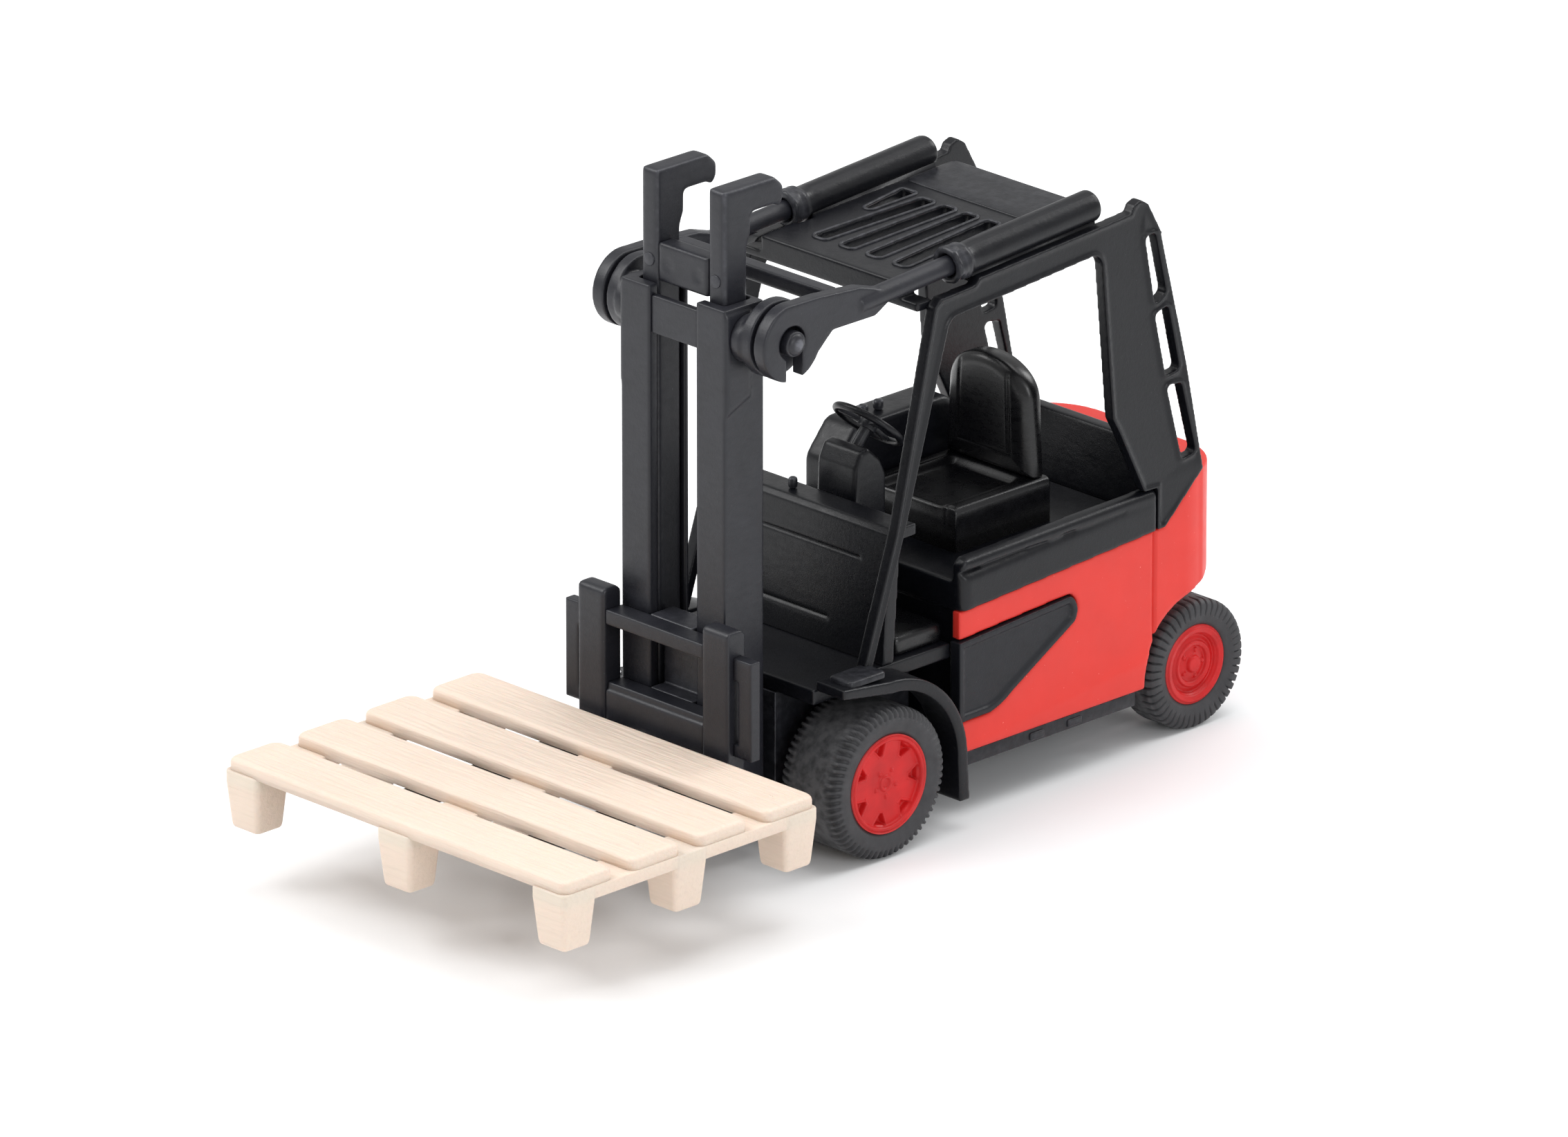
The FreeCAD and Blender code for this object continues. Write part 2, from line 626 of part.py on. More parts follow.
def make_roof():
    """Gently rising panel with a front fascia, four long slots and one short one."""
    body = new_body("roof_panel")
    half = D["roof_half_width"]
    front, rear = D["roof_front"], D["roof_rear"]
    low, high = D["roof_front_top"], D["roof_rear_top"]
    thick = D["roof_thickness"]
    pad(body, "x", [(front, low), (front, low - 1.9), (front + 0.8, low - 1.9),
                    (front + 0.9, low - thick), (rear, high - thick), (rear, high)], -half, half)
    wide = D["frame_inner"]
    pad(body, "z", box(-wide, wide, front, front + 1.6), low - 1.9, low - 1.25)
    pad(body, "z", box(-wide, wide, rear - 1.4, rear), 41.3, 42.25)
    pad(body, "z", box(-half, half, rear - 1.4, rear), 42.2, high - thick + 0.1)
    for side in (1, -1):
        near, far = (half - 0.4) * side, (half + 0.5) * side
        pocket(body, "z", [(near, TUBE_START - 0.2), (far, TUBE_START - 0.2), (far, TUBE_START + 1.6),
                           (near, TUBE_START + 1.6)], low - 1.2, 45.0)
    half_slot = D["slot_width"] / 2
    for index in range(4):
        near_x = D["slot_pitch"] * (index - 1.27)
        far_x = near_x * 0.82 + 0.15
        pocket(body, "z", [(near_x - half_slot, 8.1), (near_x + half_slot, 8.1),
                           (far_x + half_slot, 19.0), (far_x - half_slot, 19.0)], 40.0, 45.0)
    pocket(body, "z", [(-5.4, 14.6), (-4.7, 14.6), (-4.5, 19.4), (-5.9, 19.4)], 40.0, 45.0)
    round_edges(body, 0.5, lambda p, d: abs(d.z) > 0.9 and 6.7 < p.y < 18.2 and -4.4 < p.x < 6.5)
    round_edges(body, 0.3, lambda p, d: abs(d.z) > 0.9 and 6.7 < p.y < 18.2 and -6.5 < p.x < -4.4)
    return body


place(make_roof())


# ---------------------------------------------------------------- tilt cylinders and rods

def along_tilt_line(item, distance_y, x):
    """Lay a cylinder along the tilt line, its first end at the given y."""
    item.Placement = Placement(Vector(), Rotation(Vector(1, 0, 0), DRIVING["tilt_line_rise"] - 90))
    bind(item, ".Placement.Base.x", x)
    bind(item, ".Placement.Base.y", distance_y)
    rise = "tan(Dims.tilt_line_rise * 1 deg)"
    travel = as_size(distance_y) - D["eye_y"]
    item.setExpression(".Placement.Base.z", "%s + %s * %s" % (D["tilt_line_height"].text, travel.text, rise))
    return item


for word, side in SIDES:
    line_x = D["tilt_line_x"] * side
    tube = along_tilt_line(plain("Cylinder", "tube_" + word, Radius=D["cylinder_radius"],
                                 Height=TUBE_LENGTH), TUBE_START, line_x)
    collar = along_tilt_line(plain("Cylinder", "collar_" + word, Radius=D["collar_radius"],
                                   Height=1.3), TUBE_START, line_x)
    bore = along_tilt_line(plain("Cylinder", "tube_bore_" + word,
                                 Radius=D["rod_radius"] + D["rod_clearance"],
                                 Height=TUBE_LENGTH - 1.5), TUBE_START - 0.5, line_x)
    outside = boolean("Fuse", "tube_outside_" + word, tube, collar)
    place(boolean("Cut", "tilt_cylinder_" + word, outside, bore))


def make_tilt_rod(word, side):
    """Open eye, flat arm and the round rod that slides in the cylinder."""
    label = "tilt_rod_" + word
    body = new_body(label + "_arm")
    near, far = span(side, 7.95, 9.15)
    y, z = D["eye_y"], D["eye_height"]
    pad(body, "x", {"centre": (y, z), "radius": D["eye_radius"]}, near, far)
    pad(body, "x", [(y, z + D["eye_radius"] - 0.02), (y + 2.7, z + 2.95), (y + 7.1, z + 2.6),
                    (y + 8.9, z + 2.05), (y + 9.7, z + 1.3), (y + 9.7, z + 0.6), (y + 8.6, z),
                    (y + 4.2, z), (y + 2.4, z - 1.6)], near, far)
    pocket(body, "x", {"centre": (y, z), "radius": D["eye_bore_radius"]}, near - 1, far + 1)
    mouth = [(y - 0.6, z), (y + 1.05, z), (y + 1.05, z - 4), (y - 0.6, z - 4)]
    pocket(body, "x", mouth, near - 1, far + 1)
    rod = along_tilt_line(plain("Cylinder", label + "_round", Radius=D["rod_radius"], Height=16.0),
                          y + 7.0, D["tilt_line_x"] * side)
    return boolean("Fuse", label, body, rod)


for word, side in SIDES:
    place(make_tilt_rod(word, side))

cross = new_body("tilt_cross_bar")
bar_y, bar_z = D["eye_y"] + 4.4, D["eye_height"] + 1.5
pad(cross, "x", box(bar_y, bar_y + 1.2, bar_z, bar_z + 1.2), -7.95, 7.95)
place(cross)


# ---------------------------------------------------------------- outer mast

def make_outer_rail(label, side):
    """Upright channel, open towards the middle, with the bore for the pivot pin."""
    body = new_body(label)
    near, far = span(side, D["mast_gap"], D["mast_half_width"])
    pad(body, "z", box(near, far, D["mast_front"], D["mast_rear"]), D["mast_foot"], D["mast_top"])
    low, high = span(side, D["mast_gap"] - 1, D["mast_half_width"] - D["channel_web"])
    channel = box(low, high, D["mast_front"] + D["flange_front"], D["mast_rear"] - D["flange_rear"])
    pocket(body, "z", channel, D["mast_foot"] - 1, D["mast_top"] + 1)
    hole = {"centre": (D["pivot_y"], D["pivot_height"]), "radius": D["pivot_radius"] + 0.05}
    pocket(body, "x", hole, *span(side, 1.0, 7.0))
    near, far = span(side, D["mast_half_width"], D["mast_half_width"] + 0.2)
    pad(body, "x", [(-10.4, 35.9), (-7.9, 37.0), (-7.9, 43.6), (-10.4, 43.6)], near, far)
    return body


def make_tilt_lug(label, side):
    """Boss, stop disc and the pin that the tilt rod's eye clicks onto."""
    body = new_body(label)
    centre = (D["eye_y"], D["eye_height"])
    base = D["mast_half_width"]
    boss_centre = (D["eye_y"] - 1.3, D["eye_height"])
    near, far = span(side, base + 0.2, 6.6)
    pad(body, "x", {"centre": boss_centre, "radius": 1.9}, near, far)
    near, far = span(side, 6.55, 7.6)
    pad(body, "x", {"centre": centre, "radius": D["eye_radius"]}, near, far)
    near, far = span(side, 7.55, 9.5)
    pad(body, "x", {"centre": centre, "radius": D["lug_pin_radius"]}, near, far)
    return body


for word, side in SIDES:
    place(make_outer_rail("outer_rail_" + word, side))
for word, side in SIDES:
    place(make_tilt_lug("tilt_lug_" + word, side))

gap = D["mast_gap"]
outer_top = new_body("outer_cross_top")
pad(outer_top, "z", box(-gap, gap, D["mast_front"] + 0.2, D["mast_front"] + 0.85), 40.4, 43.4)
place(outer_top)

outer_bottom = new_body("outer_cross_bottom")
pad(outer_bottom, "z", box(-gap, gap, D["mast_rear"] - 0.45, D["mast_rear"]), 6.6, 11.0)
place(outer_bottom)


# ---------------------------------------------------------------- inner mast

INNER_FRONT = D["mast_front"] + D["flange_front"] + D["slide_gap"]
INNER_REAR = D["mast_rear"] - D["flange_rear"] - D["slide_gap"]
INNER_NEAR = D["mast_gap"] + 0.2
INNER_FAR = D["mast_half_width"] - D["channel_web"] - D["slide_gap"]


def make_inner_rail(label, side):
    """Square bar that runs in the channel and ends in a hook above the mast."""
    body = new_body(label)
    near, far = span(side, INNER_NEAR, INNER_FAR)
    top = D["hook_top"]
    reach = INNER_FRONT + D["hook_reach"]
    pad(body, "x", [(INNER_FRONT, D["inner_foot"]), (INNER_REAR, D["inner_foot"]), (INNER_REAR, 48.0),
                    (INNER_REAR + 0.4, 49.0), (INNER_REAR + 0.4, top - 2.2), (reach - 0.9, top - 2.2),
                    (reach - 0.5, top - 2.5), (reach, top - 1.9), (reach, top - 0.8),
                    (reach - 0.9, top), (INNER_FRONT, top)], near, far)
    return body


for word, side in SIDES:
    place(make_inner_rail("inner_rail_" + word, side))

inner_top = new_body("inner_cross_top")
pad(inner_top, "z", box(-INNER_NEAR, INNER_NEAR, INNER_FRONT, INNER_FRONT + 1.6), 44.2, 47.25)
for mark in (-1.6, 1.6):
    pocket(inner_top, "y", {"centre": (mark, 45.6), "radius": 0.55}, INNER_FRONT - 1, INNER_FRONT + 0.1)
place(inner_top)

inner_bottom = new_body("inner_cross_bottom")
pad(inner_bottom, "z", box(-INNER_NEAR, INNER_NEAR, INNER_REAR - 0.7, INNER_REAR), 12.0, 15.0)
place(inner_bottom)


# ---------------------------------------------------------------- carriage and forks

def make_fork(label, side):
    """Upright shank and a blade that thins towards its tip."""
    body = new_body(label)
    near, far = span(side, D["fork_inner"], D["fork_outer"])
    front, rear, top = D["shank_front"], D["shank_rear"], D["fork_top"]
    low = top - D["fork_thickness"]
    tip = front - D["fork_length"]
    pad(body, "x", [(rear, low), (rear, D["shank_top"] - 0.4), (rear - 0.5, D["shank_top"]),
                    (front + 0.3, D["shank_top"]), (front, D["shank_top"] - 0.3), (front, top),
                    (tip, top), (tip, top - 0.4), (tip + 8.0, low)], near, far)
    round_edges(body, 1.0, lambda p, d: p.y < -34 and abs(d.z) > 0.9)
    return body


def make_side_arm(label, side):
    """Outer bracket on the shank with a long slot behind its inner edge."""
    body = new_body(label)
    near, far = span(side, D["fork_outer"], D["arm_outer"])
    low, high = D["arm_bottom"], D["arm_top"]
    pad(body, "y", box(near, far, low, high), -12.1, -11.1)
    near, far = span(side, D["fork_outer"] - 0.5, D["fork_outer"] + 0.5)
    pocket(body, "y", box(near, far, low + 1.0, high - 1.8), -13, -10)
    return body


for word, side in SIDES:
    place(make_fork("fork_" + word, side))
for word, side in SIDES:
    place(make_side_arm("carriage_arm_" + word, side))

for label, low, high in (("carriage_bar_upper", 17.2, 18.4), ("carriage_bar_lower", 9.6, 12.6)):
    bar = new_body(label)
    reach = D["fork_inner"]
    pad(bar, "z", box(-reach, reach, D["shank_front"] + 0.15, D["shank_rear"]), low, high)
    if label == "carriage_bar_lower":
        pocket(bar, "z", box(-reach, reach, -13.0, D["shank_front"] + 0.35), 12.0, 13.0)
    place(bar)

shoe = new_body("guide_shoe")
pad(shoe, "z", box(-2.25, 2.25, D["shank_rear"], D["mast_front"] + 2.2), 9.6, 12.6)
pad(shoe, "z", box(-2.25, 2.25, D["shank_rear"], D["mast_front"] + 2.2), 17.2, 18.4)
pad(shoe, "z", box(-2.25, 2.25, D["mast_front"] + 1.2, D["mast_front"] + 2.2), 12.5, 17.3)
place(shoe)


# ---------------------------------------------------------------- pallet

def make_pallet():
    """Four slats on three cross boards with nine tapered feet, moulded in one piece."""
    body = new_body("pallet")
    half = D["pallet_length"] / 2
    rear = D["pallet_rear"]
    front = rear - D["pallet_depth"]
    foot_x = (half - D["foot_length"] / 2)
    foot_y = (D["pallet_depth"] - D["foot_depth"]) / 2
    board = D["foot_length"] / 2
    for middle in (-foot_x, as_size(0), foot_x):
        pad(body, "z", box(middle - board, middle + board, front, rear), D["board_bottom"], D["board_top"])
    pitch = (D["pallet_depth"] - D["slat_width"]) / 3
    for index in range(4):
        low = front + pitch * index
        inset = 0.15
        pad(body, "z", box(-half + inset, half - inset, low + inset, low + D["slat_width"] - inset),
            D["board_top"] - 0.01, D["slat_top"])
    round_edges(body, 0.9, lambda p, d: abs(d.z) > 0.9 and p.z > DRIVING["board_top"])
    for notch_y in (-31.3, -20.1):
        pocket(body, "x", box(notch_y - 0.8, notch_y + 0.8, 8.0, 8.85), half - 0.5, half + 1)
    tall = D["board_bottom"] - D["pallet_foot"]
    for column in (-1, 0, 1):
        for row in (0, 1, 2):
            x = foot_x * column
            y = front + D["foot_depth"] / 2 + foot_y * row
            deep = D["foot_depth"] / 2
            foot = pad(body, "z", box(x - board, x + board, y - deep, y + deep), D["board_bottom"],
                       D["board_bottom"] + tall)
            foot.Reversed = True
            bind(foot, "TaperAngle", D["foot_draft"])
            doc.recompute()
    return body


place(make_pallet())


# ---------------------------------------------------------------- checks and files

doc.recompute()
faulty = [item.Label for item in doc.Objects if "Invalid" in item.State or "Error" in item.State]
if faulty:
    raise RuntimeError("failed objects: " + ", ".join(faulty))

os.makedirs("parts", exist_ok=True)
for item in subparts:
    shape = item.Shape
    if shape.isNull() or not shape.isValid():
        raise RuntimeError("bad shape: " + item.Label)
for item in subparts:
    item.Shape.exportStep("parts/%s.step" % item.Label)
    bounds = item.Shape.BoundBox
    print("%-24s solids %d  volume %9.3f  x %7.2f %7.2f  y %7.2f %7.2f  z %6.2f %6.2f"
          % (item.Label, len(item.Shape.Solids), item.Shape.Volume, bounds.XMin, bounds.XMax,
             bounds.YMin, bounds.YMax, bounds.ZMin, bounds.ZMax))
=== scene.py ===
import json
import math

import bmesh
import bpy
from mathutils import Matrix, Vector, noise


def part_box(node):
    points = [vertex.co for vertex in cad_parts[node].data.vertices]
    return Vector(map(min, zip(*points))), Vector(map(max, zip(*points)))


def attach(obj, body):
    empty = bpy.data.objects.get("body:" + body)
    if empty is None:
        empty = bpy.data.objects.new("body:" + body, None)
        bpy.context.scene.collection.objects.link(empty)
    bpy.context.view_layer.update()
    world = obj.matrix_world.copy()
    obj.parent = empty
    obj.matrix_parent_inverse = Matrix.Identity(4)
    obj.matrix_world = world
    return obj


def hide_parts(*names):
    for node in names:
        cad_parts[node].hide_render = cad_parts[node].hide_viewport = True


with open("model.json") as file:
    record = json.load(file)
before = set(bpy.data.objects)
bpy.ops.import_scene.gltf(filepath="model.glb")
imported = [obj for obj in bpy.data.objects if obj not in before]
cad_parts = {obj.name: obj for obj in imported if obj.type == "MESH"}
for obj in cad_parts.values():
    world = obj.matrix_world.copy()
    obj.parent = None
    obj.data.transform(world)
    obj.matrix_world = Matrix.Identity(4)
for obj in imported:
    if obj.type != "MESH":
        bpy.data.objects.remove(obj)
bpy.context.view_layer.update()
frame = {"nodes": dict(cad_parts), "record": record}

# Looks of the toy forklift. Lengths are in millimetres, and MM turns them into metres.

MM = 0.001
WELD = 0.0005 * MM  # points closer than this are one point
BODY_OF = {node: body for body, nodes in frame["record"]["behaviour"]["bodies"].items() for node in nodes}
SLOT_OF = {row["node"]: row["material_slot"] for row in frame["record"]["subparts"]}
SIDES = (("left", 1), ("right", -1))


def low(node):
    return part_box(node)[0] / MM


def high(node):
    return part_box(node)[1] / MM


def middle(node):
    return (low(node) + high(node)) / 2


AXLE_Y = middle("front_axle").y

# Sizes that part.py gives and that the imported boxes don't show. Each y is counted from the front axle.
ROOF_SLOTS, SLOT_PITCH, SLOT_START, SLOT_FRONT_Y, SLOT_REAR_Y = 4, 2.83, 1.27, 8.1, 19.0
SLOT_FAN, SLOT_DRIFT = 0.82, 0.15  # how the slots' rear ends draw together
SEAM_Y = 30.4
EYE_Y, EYE_Z = -7.0, 41.7
TUBE_RISE, TUBE_X, TUBE_Y = math.radians(3.9), 8.63, 9.4
TUBE_Z = 42.4 + 16.4 * math.tan(TUBE_RISE)
TUBE_LENGTH, TUBE_RADIUS, COLLAR_RADIUS, BORE_RADIUS = 15.3, 1.25, 1.5, 0.86
BOARD_LOW, BOARD_HIGH, SLAT_WIDTH, FOOT_LENGTH, FOOT_DEPTH = 8.4, 9.4, 5.4, 3.6, 3.4


def smooth_step(edge_a, edge_b, value):
    """0 before edge_a, 1 after edge_b, and a smooth rise between them; the edges may be in either order."""
    part = min(max((value - edge_a) / (edge_b - edge_a), 0.0), 1.0)
    return part * part * (3 - 2 * part)


def soft_edge(distance, radius):
    """Drop of a rounded edge at a distance in from it."""
    inside = max(radius - distance, 0.0)
    return radius - math.sqrt(max(radius * radius - inside * inside, 0.0))


# ---------------------------------------------------------------- materials

class Shader:
    """A node tree with short calls for the nodes that these materials share."""

    def __init__(self, name):
        self.material = bpy.data.materials.new(name)
        self.material.use_nodes = True
        self.tree = self.material.node_tree
        self.surface = self.tree.nodes["Principled BSDF"]
        self.place = self.tree.nodes.new("ShaderNodeTexCoord").outputs["Object"]

    def link(self, source, target):
        self.tree.links.new(source, target)

    def stretched(self, scale):
        node = self.tree.nodes.new("ShaderNodeMapping")
        node.inputs["Scale"].default_value = scale
        self.link(self.place, node.inputs["Vector"])
        return node.outputs["Vector"]

    def noise(self, scale, detail=3.0, rough=0.55, vector=None, twist=0.0):
        node = self.tree.nodes.new("ShaderNodeTexNoise")
        node.inputs["Scale"].default_value = scale
        node.inputs["Detail"].default_value = detail
        node.inputs["Roughness"].default_value = rough
        node.inputs["Distortion"].default_value = twist
        self.link(vector or self.place, node.inputs["Vector"])
        return node.outputs["Fac"]

    def spread(self, value, low_in, high_in, low_out, high_out):
        node = self.tree.nodes.new("ShaderNodeMapRange")
        for socket, number in zip(("From Min", "From Max", "To Min", "To Max"),
                                  (low_in, high_in, low_out, high_out)):
            node.inputs[socket].default_value = number
        self.link(value, node.inputs["Value"])
        return node.outputs["Result"]

    def times(self, first, second):
        node = self.tree.nodes.new("ShaderNodeMath")
        node.operation = "MULTIPLY"
        self.link(first, node.inputs[0])
        self.link(second, node.inputs[1])
        return node.outputs[0]

    def attribute(self, name):
        node = self.tree.nodes.new("ShaderNodeAttribute")
        node.attribute_name = name
        return node.outputs["Fac"]

    def mix(self, share, first, second):
        """Colours may be plain tuples or the outputs of other nodes."""
        node = self.tree.nodes.new("ShaderNodeMix")
        node.data_type = "RGBA"
        self.link(share, node.inputs["Factor"])
        for socket, colour in ((node.inputs[6], first), (node.inputs[7], second)):
            if isinstance(colour, tuple):
                socket.default_value = (*colour, 1.0)
            else:
                self.link(colour, socket)
        return node.outputs[2]

    def bump(self, height, depth, below=None):
        node = self.tree.nodes.new("ShaderNodeBump")
        node.inputs["Distance"].default_value = depth * MM
        self.link(height, node.inputs["Height"])
        if below is not None:
            self.link(below, node.inputs["Normal"])
        return node.outputs["Normal"]

    def set(self, **sockets):
        for name, value in sockets.items():
            self.surface.inputs[name.replace("_", " ")].default_value = value


def shade(colour, factor):
    return tuple(min(channel * factor, 1.0) for channel in colour)


def moulded_plastic(name, colour, rough=0.42, grain=0.008, scuff_and_highlight=(0.10, 0.102, 0.118), wear_and_highlight=0.75, pebble=0.0,
                    dust=0.4, gloss=0.3):
    """Injection-moulded plastic: spark-eroded grain, flow marks, dust, and rubbed edges whose lighter colour is
    also a painted highlight.
    """
    s = Shader(name)
    tone = s.mix(s.spread(s.noise(420, 5), 0.3, 0.7, 0, 1), shade(colour, 0.85), shade(colour, 1.15))
    # painted highlight: the lighter colour on the edges stands partly for wear and partly for light catching them
    rubbed = s.times(s.attribute("edge"), s.spread(s.noise(1500, 5), 0.42, 0.68, wear_and_highlight * 0.35, wear_and_highlight))
    tone = s.mix(rubbed, tone, scuff_and_highlight)
    specks = s.spread(s.noise(6500, 1), 0.76, 0.82, 0, dust)
    tone = s.mix(specks, tone, scuff_and_highlight)
    s.link(tone, s.surface.inputs["Base Color"])
    streaks = s.noise(1.0, 5, 0.6, s.stretched((900, 900, 2600)))
    s.link(s.spread(streaks, 0.25, 0.75, rough - 0.06, rough + 0.09), s.surface.inputs["Roughness"])
    fine = s.bump(s.noise(11000, 2), grain)
    fine = s.bump(s.noise(2600, 3), grain * 1.6, fine)
    if pebble:
        fine = s.bump(s.spread(s.noise(5200, 0), 0.45, 0.7, 0, 1), pebble, fine)
    s.link(fine, s.surface.inputs["Normal"])
    s.set(Specular_IOR_Level=gloss)
    return s.material


def enamel(name, colour):
    """Sprayed enamel on a die casting: faint orange peel, dust, thin paint on its edges."""
    s = Shader(name)
    tone = s.mix(s.spread(s.noise(300, 3), 0.3, 0.7, 0, 1), shade(colour, 0.96), shade(colour, 1.03))
    thin = s.times(s.attribute("edge"), s.spread(s.noise(900, 5), 0.42, 0.7, 0, 0.5))
    tone = s.mix(thin, tone, shade(colour, 0.6))
    dust = s.spread(s.noise(5200, 1), 0.775, 0.83, 0, 0.5)
    tone = s.mix(dust, tone, (0.93, 0.40, 0.33))
    s.link(tone, s.surface.inputs["Base Color"])
    s.link(s.spread(s.noise(900, 4), 0.3, 0.7, 0.40, 0.50), s.surface.inputs["Roughness"])
    peel = s.bump(s.noise(1900, 2), 0.007)
    s.link(s.bump(s.noise(8000, 2), 0.004, peel), s.surface.inputs["Normal"])
    s.set(Coat_Weight=0.08, Coat_Roughness=0.3, Specular_IOR_Level=0.35)
    return s.material


def wood_look(name, colour):
    """Cream plastic with a moulded wood grain that runs along X."""
    s = Shader(name)
    lines = s.noise(1.0, 4, 0.6, s.stretched((170, 3300, 3300)), 0.5)
    clouds = s.spread(s.noise(240, 3), 0.3, 0.7, 0, 1)
    tone = s.mix(clouds, shade(colour, 0.975), shade(colour, 1.02))
    tone = s.mix(s.spread(lines, 0.5, 0.72, 0, 0.2), tone, shade(colour, 0.72))
    rubbed = s.times(s.attribute("edge"), s.spread(s.noise(800, 4), 0.4, 0.7, 0, 0.5))
    tone = s.mix(rubbed, tone, shade(colour, 1.08))
    s.link(tone, s.surface.inputs["Base Color"])
    s.link(s.spread(lines, 0.25, 0.75, 0.44, 0.6), s.surface.inputs["Roughness"])
    grain = s.bump(lines, 0.075)
    s.link(s.bump(s.noise(6500, 2), 0.006, grain), s.surface.inputs["Normal"])
    s.set(Subsurface_Weight=0.1, Subsurface_Scale=0.0008)
    return s.material


def rubber(name, colour):
    """Matt tyre rubber, rubbed on its treads, with a bloom of dust."""
    s = Shader(name)
    tone = s.mix(s.spread(s.noise(700, 5), 0.35, 0.7, 0, 1), shade(colour, 0.85), shade(colour, 1.2))
    rubbed = s.times(s.attribute("edge"), s.spread(s.noise(1300, 3), 0.3, 0.6, 0, 0.5))
    tone = s.mix(rubbed, tone, (0.14, 0.14, 0.145))
    dust = s.spread(s.noise(5200, 2), 0.72, 0.82, 0, 0.4)
    tone = s.mix(dust, tone, (0.15, 0.15, 0.15))
    s.link(tone, s.surface.inputs["Base Color"])
    s.link(s.spread(s.noise(1200, 4), 0.3, 0.7, 0.52, 0.68), s.surface.inputs["Roughness"])
    s.link(s.bump(s.noise(6500, 3), 0.010), s.surface.inputs["Normal"])
    return s.material


def drawn_steel(name):
    """Bright steel with drawing lines along X."""
    s = Shader(name)
    lines = s.noise(1.0, 4, 0.6, s.stretched((400, 6000, 6000)))
    tone = s.mix(s.spread(lines, 0.3, 0.7, 0, 1), (0.36, 0.36, 0.37), (0.62, 0.62, 0.63))
    s.link(tone, s.surface.inputs["Base Color"])
    s.link(s.spread(lines, 0.3, 0.7, 0.25, 0.42), s.surface.inputs["Roughness"])
    s.link(s.bump(lines, 0.006), s.surface.inputs["Normal"])
    s.set(Metallic=1.0)
    return s.material


MATERIALS = {
    "red_casting": enamel("red_enamel", (0.66, 0.030, 0.020)),
    "black_panel": moulded_plastic("panel_black", (0.0085, 0.0092, 0.0125), 0.38),
    "black_plastic": moulded_plastic("cab_black", (0.0038, 0.0041, 0.0060), 0.32),
    "mast_plastic": moulded_plastic("mast_black", (0.0125, 0.0130, 0.0175), 0.38, gloss=0.4),
    "steel": drawn_steel("drawn_steel"),
    "rim_plastic": moulded_plastic("rim_red", (0.50, 0.009, 0.010), 0.40, 0.005, (0.70, 0.09, 0.08), 0.3),
    "tyre": rubber("tyre_rubber", (0.028, 0.028, 0.031)),
    "pallet_plastic": wood_look("pallet_cream", (0.70, 0.575, 0.475)),
}
GLOSSY_BLACK = moulded_plastic("moulded_gloss_black", (0.003, 0.003, 0.0038), 0.27, 0.0008, wear_and_highlight=0.1,
                               pebble=0.0008, dust=0.03, gloss=0.45)


# ---------------------------------------------------------------- pieces

def add_piece(name, mesh, node, keep=False, material=None):
    """A finished piece that moves with the body of a CAD node, and stands for it unless keep is set.

    With keep, another piece stands for the node and this one is a detail on it."""
    piece = bpy.data.objects.new(name, mesh)
    bpy.context.scene.collection.objects.link(piece)
    mesh.materials.clear()
    mesh.materials.append(material or MATERIALS[SLOT_OF[node]])
    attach(piece, BODY_OF[node])
    if not keep:
        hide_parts(node)
    return piece


def mesh_from(bm, name):
    """A mesh datablock from a bmesh, with its normals outward and smooth."""
    mesh = bpy.data.meshes.new(name)
    bmesh.ops.recalc_face_normals(bm, faces=bm.faces)
    bm.to_mesh(mesh)
    bm.free()
    mesh.shade_smooth()
    return mesh


def cad_copy(node, whole=True):
    """The CAD node's surface as a welded bmesh, with its flat faces whole unless told otherwise."""
    bm = bmesh.new()
    bm.from_mesh(frame["nodes"][node].data)
    bmesh.ops.remove_doubles(bm, verts=bm.verts, dist=WELD)
    if whole:
        bmesh.ops.dissolve_limit(bm, angle_limit=math.radians(0.6), verts=bm.verts, edges=bm.edges)
    return bm


def store_wear_and_highlight(mesh, shares):
    """How worn each point is, from 0 to 1, for the materials to read; on plastics it also sets where a highlight
    is painted.
    """
    mesh.attributes.new("edge", "FLOAT", "POINT").data.foreach_set("value", shares)


def mark_edges(mesh, share):
    """Store how worn each point is, from a function of its place; on plastics this also places a painted
    highlight.
    """
    store_wear_and_highlight(mesh, [share(vert.co / MM) for vert in mesh.vertices])


def draft_of(mesh):
    """An object that modifiers can be tried on."""
    draft = bpy.data.objects.new(mesh.name, mesh)
    bpy.context.scene.collection.objects.link(draft)
    return draft


def baked(draft):
    """The mesh that an object's modifiers make."""
    depsgraph = bpy.context.evaluated_depsgraph_get()
    return bpy.data.meshes.new_from_object(draft.evaluated_get(depsgraph), depsgraph=depsgraph)


def round_off(bm, name, radius, segments=3, sharp=28.0):
    """Round every sharp edge and mark the rounded surface as worn, which on plastics also paints a highlight
    there.

    The bevel gives its faces the second material slot, which tells them from the flat ones."""
    rough_mesh = mesh_from(bm, name + "_draft")
    rough_mesh.materials.clear()
    draft = draft_of(rough_mesh)
    bevel = draft.modifiers.new("round", "BEVEL")
    bevel.width = radius * MM
    bevel.segments = segments
    bevel.limit_method = "ANGLE"
    bevel.angle_limit = math.radians(sharp)
    bevel.harden_normals = True
    bevel.material = 1
    for _ in range(2):
        rough_mesh.materials.append(MATERIALS["steel"])
    mesh = baked(draft)
    mesh.name = name
    flat, curved = set(), set()
    for face in mesh.polygons:
        (curved if face.material_index == 1 else flat).update(face.vertices)
        face.material_index = 0
    store_wear_and_highlight(mesh, [1.0 if i in curved and i not in flat else 0.25 if i in curved else 0.0
                      for i in range(len(mesh.vertices))])
    bpy.data.objects.remove(draft)
    bpy.data.meshes.remove(rough_mesh)
    return mesh


def moulded(node, radius):
    """A CAD node with small round edges."""
    add_piece(node + "_shell", round_off(cad_copy(node), node + "_shell", radius), node)


